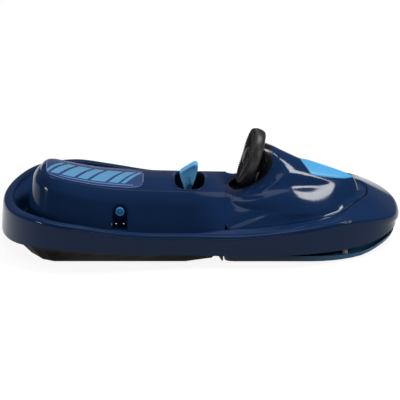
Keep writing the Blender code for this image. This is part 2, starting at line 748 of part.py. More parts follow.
def pan_loops(wall, top_extra, low):
    """Loops of the pan's outside (wall 0) or of its inside, from the top edge down."""
    inset = SHELL_WALL + PAN_GAP + wall

    def pan_half(x):
        half = PAN_BOTTOM_HALF
        front = rim_half(x) - PAN_FRONT_INSET
        return min(half, front) if x > WELL_FRONT else half

    def bottom_height(station):
        return low + PAN_SWEEP * smooth(PAN_SWEEP_START, PAN_SWEEP_END, station)

    top = hull_ring(lambda s: inset + skirt_inset(s), lambda s: skirt_height(s) + top_extra
                    + PAN_OVERLAP * smooth(LENGTH, LENGTH - 0.12, s))
    edge = []
    for x, y, _ in hull_ring(lambda s: inset + skirt_inset(s), lambda s: 0.0):
        rear = PAN_REAR + wall
        nose = LENGTH - PAN_FRONT_INSET - 0.02 - wall
        bx = rear + (nose - rear) * (x - inset) / (LENGTH - 2 * inset)
        half = pan_half(bx) - wall
        if bx < rear + 0.07:
            t = (rear + 0.07 - bx) / 0.07
            half *= max(1 - t ** 2.3, 0.0) ** 0.5
        edge.append((bx, min(half, y) if 0 < y else 0.0, bottom_height(bx)))
    edge[0] = (PAN_REAR + wall, 0.0, low)
    chine = between(top, edge, 0.86, -0.004)
    chine = [(x, y * (1.012 if low == 0 else 1.0), z) for x, y, z in chine]
    return [whole_loop(top), whole_loop(between(top, edge, 0.45)), whole_loop(chine),
            whole_loop(edge)]


def make_base_pan():
    """The black pan under the shell, with a round bay in front in which the ski turns."""
    pan = add_object("base_pan", loft_loops(pan_loops(0.0, 0.0, 0.0)), "black_plastic")
    radius = bay_radius()
    bay_floor = PAN_WALL + BAY_CEILING
    cavity = add_cutter("pan_cavity", loft_loops(pan_loops(PAN_WALL, 0.03, PAN_WALL)))
    keep = add_cutter("bay_wall", turned(((radius + PAN_WALL, -0.02),
                                          (radius + PAN_WALL, bay_floor)), 48,
                                         upright(KINGPIN_X)))
    boolean(cavity, keep)
    boolean(pan, cavity)
    boolean(pan, add_cutter("ski_bay", turned(((radius, -0.02), (radius, BAY_CEILING)), 48,
                                              upright(KINGPIN_X))))
    bosses = [turned(((SCREW_BOSS_RADIUS, PAN_WALL / 2), (SCREW_BOSS_RADIUS, SCREW_BOSS_TOP)),
                     12, upright(x, y)) for x, y in screw_places()]
    boolean(pan, add_cutter("pan_bosses", merged(bosses)), "UNION")
    cuts = []
    for x, y in screw_places():
        head = SCREW_HEAD_RADIUS + SCREW_CLEARANCE
        shank = SCREW_SHANK_RADIUS + SCREW_CLEARANCE
        cuts.append(turned(((head, -0.01), (head, SCREW_HEAD_SEAT), (shank, SCREW_HEAD_SEAT),
                            (shank, 0.02)), 12, upright(x, y)))
    slot_front = px(BRAKE_X) + CLAW_WIDTH / 2 + CLAW_SLOT_MARGIN
    slot_rear = px(BRAKE_X) - CLAW_REACH - CLAW_WIDTH / 2 - CLAW_SLOT_MARGIN
    half = CLAW_THICKNESS / 2 + 0.004
    for side in (1, -1):
        y = side * CLAW_HALF_SPAN
        cuts.append(prism(((slot_rear, y - half), (slot_front, y - half),
                           (slot_front, y + half), (slot_rear, y + half)), -0.01, 0.012))
    hole = bush_outer() + GAP
    cuts.append(turned(((hole, 0.01), (hole, 0.05)), ROUND_SIDES, upright(KINGPIN_X)))
    boolean(pan, add_cutter("pan_cuts", merged(cuts)))
    return pan


def add_screws():
    """Pan-head screws from below through the pan into the shell's bosses."""
    for number, (x, y) in enumerate(screw_places(), 1):
        shank_end = WELL_FLOOR - SCREW_COVER
        seat = SCREW_HEAD_SEAT - GAP
        profile = ((SCREW_HEAD_RADIUS * 0.8, seat - SCREW_HEAD_HEIGHT),
                   (SCREW_HEAD_RADIUS, seat - SCREW_HEAD_HEIGHT * 0.6), (SCREW_HEAD_RADIUS, seat),
                   (SCREW_SHANK_RADIUS, seat), (SCREW_SHANK_RADIUS, shank_end - 0.002),
                   (SCREW_SHANK_RADIUS * 0.4, shank_end))
        add_object(f"pan_screw_{number}", turned(profile, 8, upright(x, y)), "steel")


def stretched(line):
    """A hood line, drawn for a hood that ends at HOOD_DRAWN_FRONT, fitted to the nose."""
    front = LENGTH - NOSE_BAND_WIDTH - HOOD_SEAT_GAP
    stretch = (front - HOOD_FULL) / (HOOD_DRAWN_FRONT - HOOD_FULL)
    return [(x if x < HOOD_FULL else HOOD_FULL + (x - HOOD_FULL) * stretch, y, z)
            for x, y, z in line]


def hood_rings():
    """Feature lines of the hood from its seat on the fender to the floor under the wheel."""
    crossing = HOOD_CROSSING_COLUMNS
    columns = crossing + FRONT_COLUMNS
    base = []
    side_y = rim_half(HOOD_CORNER_X) - rim_width(HOOD_CORNER_X) - HOOD_SEAT_GAP
    for k in range(crossing):
        t = k / crossing
        y = side_y * t
        z = HOOD_SILL - (HOOD_SILL - seat_height(HOOD_CORNER_X)) * smooth(0.45, 1.0, t)
        base.append((HOOD_REAR + (HOOD_CORNER_X - HOOD_REAR) * t ** 3, y, z))
    for k in range(FRONT_COLUMNS + 1):
        u = (SIDE_COLUMNS + k) / (SIDE_COLUMNS + FRONT_COLUMNS)
        x, y = hull_point(u, rim_width(hull_station(u)) + HOOD_SEAT_GAP)
        if k == 0:
            x, y = HOOD_CORNER_X, side_y
        base.append((x, y, seat_height(x)))
    under = [(x, y, z - HOOD_SKIRT) for x, y, z in base]
    crease, dome, brow, lip, collar, pod, floor = [
        [tuple(p) for p in through(stretched(line), columns + 1)] for line in (
            CREASE_LINE, DOME_LINE, BROW_LINE, LIP_LINE, COLLAR_LINE, POD_LINE, FLOOR_LINE)]

    def bulged(a, b, t, lift):
        """A ring between two lines, lifted except at the hood's narrow rear edge."""
        rise = 4 * lift * t * (1 - t)
        return [(x, y, z + rise * smooth(HOOD_REAR, HOOD_FULL, x)) for x, y, z in between(a, b, t)]

    return [under, base, bulged(base, crease, 0.55, -0.003), crease,
            bulged(crease, dome, 0.5, 0.005), dome, bulged(dome, brow, 0.5, 0.003), brow, lip,
            collar, pod, floor]


def make_hood():
    """The front hood, with the cockpit recess behind which the steering wheel stands."""
    rings = hood_rings()
    bm = loft_halves(rings)
    floor = [Vector((px(x), y, z)) for x, y, z in rings[-1]]

    def on_floor(vert):
        mirrored = Vector((vert.co.x, abs(vert.co.y), vert.co.z))
        return min((mirrored - point).length for point in floor) < 1e-5

    edge = [e for e in bm.edges if e.is_boundary and all(on_floor(v) for v in e.verts)]
    bmesh.ops.holes_fill(bm, edges=edge)
    bmesh.ops.triangulate(bm, faces=[f for f in bm.faces if len(f.verts) > 4])
    surface = BVHTree.FromBMesh(bm)
    hood = add_object("hood", bm, "shell_blue")
    solidify(hood, HOOD_WALL)
    radius = COLUMN_RADIUS + COLUMN_CLEARANCE + BUSH_WALL + GAP
    hole = turned(((radius, -COLUMN_BUSH_FAR - CUT_REACH), (radius, CUT_PAST - COLUMN_BUSH_NEAR)),
                  ROUND_SIDES, column_frame())
    boolean(hood, add_cutter("column_hole", hole))
    return surface


def make_hood_insert(surface):
    """The light blue trim that lies on top of the hood, from its brow to a point in front."""
    line = through(stretched([(x, y, 0.0) for x, y in INSERT_LINE]), 17)
    half_at = [(p.x, p.y) for p in line]
    stations = [half_at[0][0] + (half_at[-1][0] - half_at[0][0]) * k / 12 for k in range(13)]
    across = 8
    bm = bmesh.new()
    rows = []
    for level in (INSERT_GAP, INSERT_GAP + INSERT_THICKNESS):
        for s in stations[1:-1]:
            half = np.interp(s, [h[0] for h in half_at], [h[1] for h in half_at])
            row = []
            for k in range(across + 1):
                y = half * (2 * k / across - 1)
                hit = surface.ray_cast(Vector((px(s), y, 0.4)), Vector((0, 0, -1)))[0]
                row.append(bm.verts.new((px(s), y, hit.z + level)))
            rows.append(row)
    count = len(stations) - 2
    low, high = rows[:count], rows[count:]
    for sheet, flip in ((low, True), (high, False)):
        for a, b in zip(sheet, sheet[1:]):
            for i in range(across):
                face = (a[i], b[i], b[i + 1], a[i + 1])
                bm.faces.new(face[::-1] if flip else face)
    for n in range(count - 1):
        for i in (0, across):
            face = (low[n][i], low[n + 1][i], high[n + 1][i], high[n][i])
            bm.faces.new(face if i == 0 else face[::-1])
    for n in (0, count - 1):
        for i in range(across):
            face = (low[n][i], low[n][i + 1], high[n][i + 1], high[n][i])
            bm.faces.new(face[::-1] if n == 0 else face)
    return add_object("hood_insert", bm, "light_blue")


def make_wheel():
    """The steering wheel: a thick oval rim, three spokes and a hub."""
    frame = column_frame()
    segments, sides = WHEEL_SEGMENTS, 8
    bm = bmesh.new()
    radius = WHEEL_RADIUS - WHEEL_RIM_RADIAL
    rings = []
    for s in range(segments):
        turn = 2 * math.pi * s / segments
        ring = []
        for k in range(sides):
            angle = 2 * math.pi * (k + 0.5) / sides
            r = radius + WHEEL_RIM_RADIAL * math.cos(angle)
            z = WHEEL_RIM_AXIAL * math.sin(angle)
            ring.append(bm.verts.new((r * math.cos(turn), r * math.sin(turn), z)))
        rings.append(ring)
    for s in range(segments):
        a, b = rings[s], rings[(s + 1) % segments]
        for k in range(sides):
            j = (k + 1) % sides
            bm.faces.new((a[k], b[k], b[j], a[j]))
    bmesh.ops.transform(bm, matrix=frame, verts=bm.verts)
    wheel = add_object("steering_wheel", bm, "black_plastic", origin=frame.translation)
    centre = [turned(((WHEEL_HUB_RADIUS, -WHEEL_HUB_LENGTH / 2),
                      (WHEEL_HUB_RADIUS, WHEEL_HUB_LENGTH / 2 - 0.006),
                      (WHEEL_HUB_RADIUS * 0.8, WHEEL_HUB_LENGTH / 2)), 24, frame)]
    hub = add_cutter("wheel_hub", centre[0])
    boolean(wheel, hub, "UNION")
    for number, angle in enumerate((90, 180, 270)):
        reach = WHEEL_RADIUS - WHEEL_RIM_RADIAL
        block = prism(((WHEEL_HUB_RADIUS * 0.7, -SPOKE_WIDTH / 2), (reach, -SPOKE_WIDTH * 0.36),
                       (reach, SPOKE_WIDTH * 0.36), (WHEEL_HUB_RADIUS * 0.7, SPOKE_WIDTH / 2)),
                      -SPOKE_THICKNESS / 2, SPOKE_THICKNESS / 2)
        turn = Matrix.Rotation(math.radians(angle), 4, "Z")
        bmesh.ops.transform(block, matrix=frame @ turn, verts=block.verts)
        boolean(wheel, add_cutter(f"wheel_spoke_{number}", block), "UNION")
    bore = COLUMN_RADIUS + GAP
    boolean(wheel, add_cutter("wheel_bore", turned(((bore, -0.03), (bore, 0.006)), ROUND_SIDES,
                                                   frame)))
    cap_profile = ((WHEEL_HUB_RADIUS * 0.78, WHEEL_HUB_LENGTH / 2 + GAP),
                   (WHEEL_HUB_RADIUS * 0.78, WHEEL_HUB_LENGTH / 2 + 0.003),
                   (WHEEL_HUB_RADIUS * 0.55, WHEEL_HUB_LENGTH / 2 + 0.0052),
                   (WHEEL_HUB_RADIUS * 0.2, WHEEL_HUB_LENGTH / 2 + 0.006))
    add_object("wheel_cap", turned(cap_profile, 24, frame), "black_plastic",
               origin=frame.translation)


def make_column():
    """The steering column with its crank, and the bush and bracket that carry it."""
    frame = column_frame()
    end = -COLUMN_REACH
    column = add_object("steering_column", turned(
        ((COLUMN_RADIUS, end), (COLUMN_RADIUS, 0.0055)), ROUND_SIDES, frame), "steel",
        origin=frame.translation)
    arm = prism(((COLUMN_RADIUS * 1.3, -0.010), (COLUMN_RADIUS * 1.3, 0.010),
                 (-CRANK_RADIUS - 0.007, 0.006), (-CRANK_RADIUS - 0.007, -0.006)),
                end, end + CRANK_THICKNESS)
    bmesh.ops.transform(arm, matrix=frame, verts=arm.verts)
    boolean(column, add_cutter("crank_arm", arm), "UNION")
    crank_place = frame @ Matrix.Translation((-CRANK_RADIUS, 0.0, 0.0))
    pin = turned(((CRANK_PIN_RADIUS * 0.7, end - CRANK_PIN_LENGTH),
                  (CRANK_PIN_RADIUS, end - CRANK_PIN_LENGTH + 0.002),
                  (CRANK_PIN_RADIUS, end + CRANK_THICKNESS / 2)), 12, crank_place)
    boolean(column, add_cutter("crank_pin", pin), "UNION")

    inner = COLUMN_RADIUS + COLUMN_CLEARANCE
    bush = tube_ring(inner, inner + BUSH_WALL, -COLUMN_BUSH_FAR, -COLUMN_BUSH_NEAR,
                     ROUND_SIDES, frame, BUSH_FLANGE, BUSH_FLANGE_HEIGHT)
    add_object("column_bush", bush, "bush_plastic")

    reach = (COLUMN_BRACKET_X - WHEEL_X) / math.cos(COLUMN_TILT)
    hub = column_point(reach)
    low = DECK_HEIGHT + GAP
    half = COLUMN_BRACKET_HALF
    eye, crown, top = BRACKET_EYE_HALF, BRACKET_TOP_HALF, hub.z + BRACKET_EYE_HALF
    outline = ((-half, low), (half, low), (half, low + BRACKET_SHOULDER), (eye, hub.z),
               (crown, top), (-crown, top), (-eye, hub.z), (-half, low + BRACKET_SHOULDER))
    plate = prism(outline, hub.x - COLUMN_BRACKET_THICKNESS / 2,
                  hub.x + COLUMN_BRACKET_THICKNESS / 2, "X")
    bracket = add_object("column_bracket", plate, "black_plastic")
    foot = rounded_box(hub.x - 4 * BRACKET_FOOT, hub.x + 4 * BRACKET_FOOT, half, BRACKET_FOOT,
                       low, low + BRACKET_FOOT)
    boolean(bracket, add_cutter("bracket_foot", foot), "UNION")
    hole = turned(((inner, -reach - CUT_REACH), (inner, CUT_REACH - reach)), ROUND_SIDES, frame)
    boolean(bracket, add_cutter("bracket_bore", hole))


def make_kingpin():
    """The upright pivot of the ski with its two bushes, the tiller on top and its nut."""
    origin = (px(KINGPIN_X), 0.0, 0.0)
    head_low, head_high = KINGPIN_HEAD_LOW, KINGPIN_HEAD_LOW + KINGPIN_HEAD_HEIGHT
    pin = turned(((KINGPIN_HEAD_RADIUS * 0.85, head_low), (KINGPIN_HEAD_RADIUS, head_low + 0.001),
                  (KINGPIN_HEAD_RADIUS, head_high), (KINGPIN_RADIUS, head_high),
                  (KINGPIN_RADIUS, KINGPIN_TOP)), ROUND_SIDES, upright(KINGPIN_X))
    add_object("kingpin", pin, "steel", origin=origin)

    inner = KINGPIN_RADIUS + KINGPIN_CLEARANCE
    lower = tube_ring(inner, bush_outer(), BAY_CEILING - 0.0002,
                      BAY_CEILING + PAN_WALL + GAP + BUSH_FLANGE_HEIGHT, ROUND_SIDES,
                      upright(KINGPIN_X), BUSH_FLANGE, BUSH_FLANGE_HEIGHT)
    add_object("kingpin_bush_lower", lower, "bush_plastic")
    upper = tube_ring(inner, bush_outer(), DECK_HEIGHT - SHELL_WALL - 0.008,
                      DECK_HEIGHT + GAP + BUSH_FLANGE_HEIGHT, ROUND_SIDES, upright(KINGPIN_X),
                      BUSH_FLANGE, BUSH_FLANGE_HEIGHT)
    add_object("kingpin_bush_upper", upper, "bush_plastic")

    low, high = TILLER_HEIGHT, TILLER_HEIGHT + TILLER_THICKNESS
    hub_low = DECK_HEIGHT + BUSH_FLANGE_HEIGHT + 3 * GAP
    hub = tube_ring(KINGPIN_RADIUS + GAP, TILLER_HUB_RADIUS, hub_low, high + TILLER_HUB_RISE,
                    matrix=upright(KINGPIN_X))
    tiller = add_object("tiller", hub, "steel", origin=origin)
    fork_x = KINGPIN_X - TILLER_REACH
    arm_end = px(KINGPIN_X) - (KINGPIN_RADIUS + TILLER_HUB_RADIUS) / 2
    arm = prism(((px(fork_x), -TILLER_WIDTH / 2), (arm_end, -TILLER_WIDTH / 2),
                 (arm_end, TILLER_WIDTH / 2), (px(fork_x), TILLER_WIDTH / 2)), low, high)
    boolean(tiller, add_cutter("tiller_arm", arm), "UNION")
    slot, prong = FORK_GAP / 2, FORK_GAP / 2 + FORK_PRONG
    bevel = 0.003
    outline = ((-prong, low - 0.002), (prong, low - 0.002), (prong, FORK_TOP - bevel),
               (prong - bevel, FORK_TOP), (bevel - prong, FORK_TOP), (-prong, FORK_TOP - bevel))
    fork = prism(outline, px(fork_x) - FORK_THICKNESS / 2,
                 px(fork_x) + FORK_THICKNESS / 2, "X")
    boolean(tiller, add_cutter("tiller_fork", fork), "UNION")
    outline = [(slot, FORK_TOP + 0.01), (-slot, FORK_TOP + 0.01)]
    for k in range(7):
        angle = math.pi * (1 + k / 6)
        outline.append((slot * math.cos(angle), FORK_SLOT_BOTTOM + slot + slot * math.sin(angle)))
    groove = prism(outline, px(fork_x) - FORK_THICKNESS,
                   px(fork_x) + FORK_THICKNESS, "X")
    boolean(tiller, add_cutter("tiller_slot", groove))
    bore = KINGPIN_RADIUS + GAP
    nut_low = high + TILLER_HUB_RISE + GAP
    nut_high = nut_low + NUT_HEIGHT
    nut = add_object("kingpin_nut", turned(((NUT_RADIUS, nut_low), (NUT_RADIUS, nut_high)), 6,
                                           upright(KINGPIN_X)), "steel", origin=origin)
    hole = turned(((bore, nut_low - CUT_PAST), (bore, nut_high + CUT_PAST)), ROUND_SIDES,
                  upright(KINGPIN_X))
    boolean(nut, add_cutter("nut_bore", hole))


def ski_outline(inset):
    """Half outline of the ski from its rear centre round to its nose, as (station, y)."""
    points = []
    half = SKI_HALF_WIDTH - inset
    rear = SKI_REAR + inset
    corner = SKI_CORNER
    for k in range(5):
        points.append((rear, (half - corner) * k / 5))
    for k in range(4):
        angle = math.pi / 2 * k / 4
        points.append((rear + corner * (1 - math.cos(angle)),
                       half - corner + corner * math.sin(angle)))
    straight = KINGPIN_X - rear - corner
    for k in range(5):
        points.append((rear + corner + straight * k / 5, half))
    nose = SKI_NOSE_RADIUS - inset
    for k in range(13):
        angle = math.pi / 2 * k / 12
        points.append((KINGPIN_X + nose * math.sin(angle),
                       half * math.cos(angle) if k < 12 else 0.0))
    return points


def ski_lift(station):
    return SKI_TIP_LIFT * smooth(SKI_LIFT_START, KINGPIN_X + SKI_NOSE_RADIUS, station)


def ski_wall_height(station):
    fade = smooth(KINGPIN_X, KINGPIN_X + SKI_NOSE_RADIUS, station)
    return SKI_WALL_HEIGHT + (SKI_NOSE_WALL_HEIGHT - SKI_WALL_HEIGHT) * fade


def make_ski():
    """The wide front ski, a shallow tray whose tip curves up, with its hub and tail strip."""
    def loop(inset, height):
        return whole_loop([(x, y, height(x) + ski_lift(x)) for x, y in ski_outline(inset)])

    loops = [loop(0.030, lambda x: 0.0), loop(0.012, lambda x: 0.0), loop(0.003, lambda x: 0.004),
             loop(0.0, ski_wall_height), loop(SKI_WALL, ski_wall_height),
             loop(SKI_WALL + 0.006, lambda x: SKI_PLATE), loop(0.030, lambda x: SKI_PLATE)]
    origin = (px(KINGPIN_X), 0.0, 0.0)
    ski = add_object("ski", loft_loops(loops), "ski_blue", origin=origin)
    hub = turned(((SKI_HUB_RADIUS, SKI_PLATE / 2), (SKI_HUB_RADIUS * 0.8, BAY_CEILING - 0.0015)),
                 24, upright(KINGPIN_X))
    boolean(ski, add_cutter("ski_hub", hub), "UNION")
    head = KINGPIN_HEAD_RADIUS + KINGPIN_CLEARANCE
    seat = KINGPIN_HEAD_LOW + KINGPIN_HEAD_HEIGHT + GAP
    bore = KINGPIN_RADIUS + KINGPIN_CLEARANCE
    cut = turned(((head, -0.01), (head, seat), (bore, seat), (bore, 0.05)), ROUND_SIDES,
                 upright(KINGPIN_X))
    boolean(ski, add_cutter("ski_bore", cut))

    rear = SKI_REAR - GAP
    front_top = px(rear)
    outline = ((px(rear - SKI_TAIL_LENGTH), SKI_WALL_HEIGHT), (px(rear - 0.0035), 0.0),
               (front_top, 0.0), (front_top, SKI_WALL_HEIGHT))
    half = SKI_HALF_WIDTH - SKI_CORNER
    tail = prism(outline, -half, half, "Y")
    add_object("ski_tail", tail, "black_plastic", origin=origin)

    for name, side in (("ski_glide_left", 1), ("ski_glide_right", -1)):
        profile = ((GLIDE_RADIUS, SKI_PLATE + GAP), (GLIDE_RADIUS, BAY_CEILING - 0.004),
                   (GLIDE_TIP_RADIUS, BAY_CEILING - 0.0012))
        add_object(name, turned(profile, 12, upright(GLIDE_X, side * GLIDE_Y)), "light_blue",
                   origin=origin)


def make_lever():
    """The brake lever, its housing in the seat's pocket, its pin and the link behind."""
    pivot = (px(LEVER_X), 0.0, LEVER_Z)
    housing = add_object("lever_housing", rounded_box(
        px(POCKET_REAR) + GAP, px(POCKET_FRONT) - GAP, POCKET_HALF - GAP, POCKET_CORNER - GAP,
        HOUSING_FLOOR, HOUSING_TOP), "shell_blue")
    wall = HOUSING_WALL + GAP
    inside = rounded_box(px(POCKET_REAR) + wall, px(POCKET_FRONT) - wall, POCKET_HALF - wall,
                         POCKET_CORNER - wall, HOUSING_FLOOR + HOUSING_WALL,
                         HOUSING_TOP + CUT_REACH)
    slot_half = LEVER_ARM_THICKNESS / 2 + 0.002
    slot = prism(((px(LEVER_X) - 0.020, -slot_half), (px(LEVER_X) + 0.034, -slot_half),
                  (px(LEVER_X) + 0.034, slot_half), (px(LEVER_X) - 0.020, slot_half)),
                 HOUSING_FLOOR - CUT_PAST, HOUSING_FLOOR + CUT_PAST)
    pin_hole = LEVER_PIN_RADIUS + GAP
    across = POCKET_HALF + CUT_PAST
    bore = turned(((pin_hole, -across), (pin_hole, across)), 12, along_y(LEVER_X, LEVER_Z))
    boolean(housing, add_cutter("housing_cut", merged([inside, slot, bore])), crossing=True)

    outline = ((0.497, 0.100), (0.504, 0.112), (0.512, 0.135), (0.519, 0.160), (0.521, 0.188),
               (0.517, 0.199), (0.507, 0.203), (0.494, 0.200), (0.480, 0.190), (0.470, 0.176),
               (0.469, 0.168), (0.474, 0.145), (0.478, 0.125), (0.481, 0.108), (0.486, 0.100))
    profile = [(px(x), z) for x, z in outline]
    middle = Vector((px(0.495), 0.0, 0.150))
    loops = []
    for level, shrink in ((-0.5, 0.80), (-0.36, 0.96), (0.0, 1.0), (0.36, 0.96), (0.5, 0.80)):
        loop = []
        for x, z in profile:
            grip = smooth(0.110, 0.150, z)
            thick = LEVER_ARM_THICKNESS + (LEVER_THICKNESS - LEVER_ARM_THICKNESS) * grip
            s = 1 - (1 - shrink) * grip
            loop.append((middle.x + (x - middle.x) * s, level * thick,
                         middle.z + (z - middle.z) * s))
        loops.append(loop)
    lever = add_object("brake_lever", loft_loops(loops), "light_blue", origin=pivot)
    hub_half = 0.016
    hub = turned(((LEVER_HUB_RADIUS, -hub_half), (LEVER_HUB_RADIUS, hub_half)), ROUND_SIDES,
                 along_y(LEVER_X, LEVER_Z))
    boolean(lever, add_cutter("lever_hub", hub), "UNION")
    low = LEVER_Z - LINK_DROP
    half = LEVER_ARM_THICKNESS / 2 - 0.0005
    arm = prism(((px(LEVER_X) - 0.006, low - 0.006), (px(LEVER_X) + 0.006, low - 0.006),
                 (px(LEVER_X) + 0.008, LEVER_Z), (px(LEVER_X) - 0.008, LEVER_Z)),
                -half, half, "Y")
    boolean(lever, add_cutter("lever_arm", arm), "UNION")
    holes = [turned(((LEVER_PIN_RADIUS + PIN_CLEARANCE, -CUT_REACH),
                     (LEVER_PIN_RADIUS + PIN_CLEARANCE, CUT_REACH)), 12,
                    along_y(LEVER_X, LEVER_Z)),
             turned(((LINK_PIN_RADIUS + GAP, -CUT_REACH), (LINK_PIN_RADIUS + GAP, CUT_REACH)),
                    12, along_y(LEVER_X, low))]
    boolean(lever, add_cutter("lever_holes", merged(holes)))
    span = POCKET_HALF - GAP
    add_object("lever_pin", turned(((LEVER_PIN_RADIUS, -span), (LEVER_PIN_RADIUS, span)), 12,
                                   along_y(LEVER_X, LEVER_Z)), "steel")
    link_y = half + 0.001
    pin = turned(((LINK_PIN_RADIUS * 1.6, -half - 0.003), (LINK_PIN_RADIUS * 1.6, -half - GAP),
                  (LINK_PIN_RADIUS, -half - GAP),
                  (LINK_PIN_RADIUS, link_y + LINK_THICKNESS + 0.002)), 12, along_y(LEVER_X, low))
    add_object("link_pin", pin, "steel", origin=pivot)

    rear_low = BRAKE_Z - LINK_DROP
    a = Vector((px(BRAKE_X), 0.0, rear_low))
    b = Vector((px(LEVER_X), 0.0, low))
    along = (b - a).normalized()
    up = Vector((-along.z, 0.0, along.x))
    outline = []
    for centre, sign in ((b, 1), (a, -1)):
        for k in range(7):
            angle = math.radians(-90 + 180 * k / 6)
            outline.append(centre + (along * math.cos(angle) + up * math.sin(angle))
                           * sign * LINK_WIDTH / 2)
    link = add_object("brake_link", prism([(p.x, p.z) for p in outline], link_y,
                                          link_y + LINK_THICKNESS, "Y"), "steel",
                      origin=(px(LEVER_X), 0.0, low))
    holes = [turned(((LINK_PIN_RADIUS + PIN_CLEARANCE, 0.0),
                     (LINK_PIN_RADIUS + PIN_CLEARANCE, CUT_REACH)), 12, along_y(LEVER_X, low)),
             turned(((LINK_PIN_RADIUS + LINK_OPEN_CLEARANCE, 0.0),
                     (LINK_PIN_RADIUS + LINK_OPEN_CLEARANCE, CUT_REACH)), 12,
                    along_y(BRAKE_X, rear_low))]
    boolean(link, add_cutter("link_holes", merged(holes)))
    return half, link_y


def make_brake(half, link_y):
    """The cross shaft with its crank, two claws and the side knobs on its ends."""
    origin = (px(BRAKE_X), 0.0, BRAKE_Z)
    end = NICHE_BACK + NICHE_WALL + GAP + KNOB_LENGTH * 0.4
    shaft = add_object("brake_shaft", turned(((BRAKE_SHAFT_RADIUS, -end),
                                              (BRAKE_SHAFT_RADIUS, end)), ROUND_SIDES,
                                             along_y(BRAKE_X, BRAKE_Z)), "steel", origin=origin)
    low = BRAKE_Z - LINK_DROP
    x = px(BRAKE_X)
    crank = prism(((x - 0.006, low - 0.006), (x + 0.006, low - 0.006), (x + 0.010, BRAKE_Z),
                   (x + 0.006, BRAKE_Z + 0.008), (x - 0.006, BRAKE_Z + 0.008),
                   (x - 0.010, BRAKE_Z)), -half, half, "Y")
    boolean(shaft, add_cutter("shaft_crank", crank), "UNION")
    pin = turned(((LINK_PIN_RADIUS, 0.0), (LINK_PIN_RADIUS, link_y + LINK_THICKNESS + 0.002)),
                 12, along_y(BRAKE_X, low))
    boolean(shaft, add_cutter("crank_stud", pin), "UNION")

    tip = Vector((x - CLAW_REACH, 0.0, CLAW_TIP_HEIGHT))
    for name, side in (("brake_claw_left", 1), ("brake_claw_right", -1)):
        y = side * CLAW_HALF_SPAN
        thick = CLAW_THICKNESS / 2
        outline = ((x + 0.011, BRAKE_Z), (x + 0.006, BRAKE_Z + 0.010), (x - 0.008, BRAKE_Z + 0.010),
                   (x - 0.030, BRAKE_Z - 0.018), (tip.x - 0.004, 0.045), (tip.x - 0.008, 0.022),
                   (tip.x, tip.z), (tip.x + 0.010, 0.022), (tip.x + 0.018, 0.040),
                   (x - 0.022, BRAKE_Z - 0.040), (x + 0.004, BRAKE_Z - 0.012))
        claw = add_object(name, prism(outline, y - thick, y + thick, "Y"), "steel", origin=origin)
        hole = BRAKE_SHAFT_RADIUS + GAP
        bore = turned(((hole, y - CUT_PAST), (hole, y + CUT_PAST)), ROUND_SIDES,
                      along_y(BRAKE_X, BRAKE_Z))
        boolean(claw, add_cutter(name + "_bore", bore))

    start = NICHE_BACK + NICHE_WALL + GAP
    stop = start + KNOB_LENGTH
    r = KNOB_RADIUS
    for name, side in (("side_knob_left", 1), ("side_knob_right", -1)):
        profile = ((r * 0.9, start), (r, start + 0.001), (r, stop - 0.0015), (r * 0.9, stop),
                   (r * 0.72, stop), (r * 0.62, stop - KNOB_DISH), (r * 0.2, stop - KNOB_DISH))
        bm = turned(profile, 12, along_y(BRAKE_X, BRAKE_Z))
        hole = BRAKE_SHAFT_RADIUS + GAP
        bore = turned(((hole, start - CUT_PAST), (hole, end + GAP)), ROUND_SIDES,
                      along_y(BRAKE_X, BRAKE_Z))
        if side < 0:
            for each in (bm, bore):
                bmesh.ops.scale(each, vec=(1, -1, 1), verts=each.verts)
                bmesh.ops.reverse_faces(each, faces=each.faces)
        knob = add_object(name, bm, "light_blue", origin=origin)
        boolean(knob, add_cutter(name + "_bore", bore))


def main():
    for obj in list(bpy.data.objects):
        bpy.data.objects.remove(obj)
    make_upper_shell()
    make_niche("knob_recess_left", 1)
    make_niche("knob_recess_right", -1)
    make_base_pan()
    add_screws()
    make_hood_insert(make_hood())
    make_wheel()
    make_column()
    make_kingpin()
    make_ski()
    half, link_y = make_lever()
    make_brake(half, link_y)


main()
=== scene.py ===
"""Looks for the child's steering sled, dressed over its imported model.

Units are metres in the model's frame: X runs to the nose, Y to the rider's left, Z up.
Stations count from the sled's rear end, and px() moves them into that frame.
"""

import math

import bmesh
import bpy
import numpy as np
from mathutils import Matrix, Vector
from mathutils.bvhtree import BVHTree


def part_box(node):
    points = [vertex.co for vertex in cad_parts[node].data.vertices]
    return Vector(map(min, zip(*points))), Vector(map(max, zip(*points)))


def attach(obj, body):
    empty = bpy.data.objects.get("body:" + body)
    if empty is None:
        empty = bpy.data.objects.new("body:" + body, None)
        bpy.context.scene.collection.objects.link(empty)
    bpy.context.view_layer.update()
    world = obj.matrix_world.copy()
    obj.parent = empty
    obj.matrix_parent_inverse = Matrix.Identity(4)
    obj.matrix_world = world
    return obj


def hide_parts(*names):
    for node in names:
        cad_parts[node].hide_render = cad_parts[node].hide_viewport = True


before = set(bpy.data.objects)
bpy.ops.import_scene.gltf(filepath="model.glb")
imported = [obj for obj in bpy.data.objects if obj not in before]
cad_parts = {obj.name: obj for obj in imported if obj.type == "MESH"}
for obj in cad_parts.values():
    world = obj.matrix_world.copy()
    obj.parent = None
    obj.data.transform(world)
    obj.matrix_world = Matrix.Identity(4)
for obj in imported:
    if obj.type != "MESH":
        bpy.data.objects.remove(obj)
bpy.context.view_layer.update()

# The photograph's frame: 400 px wide, 2.653 mm to the pixel, seen level with the long side
VIEW_WIDTH = 1.0612
VIEW_CENTRE = (-0.003, 0.0, 0.098)
VIEW_ELEVATION = math.radians(20.5)
SENSOR = 36.0
LENS = 1200.0

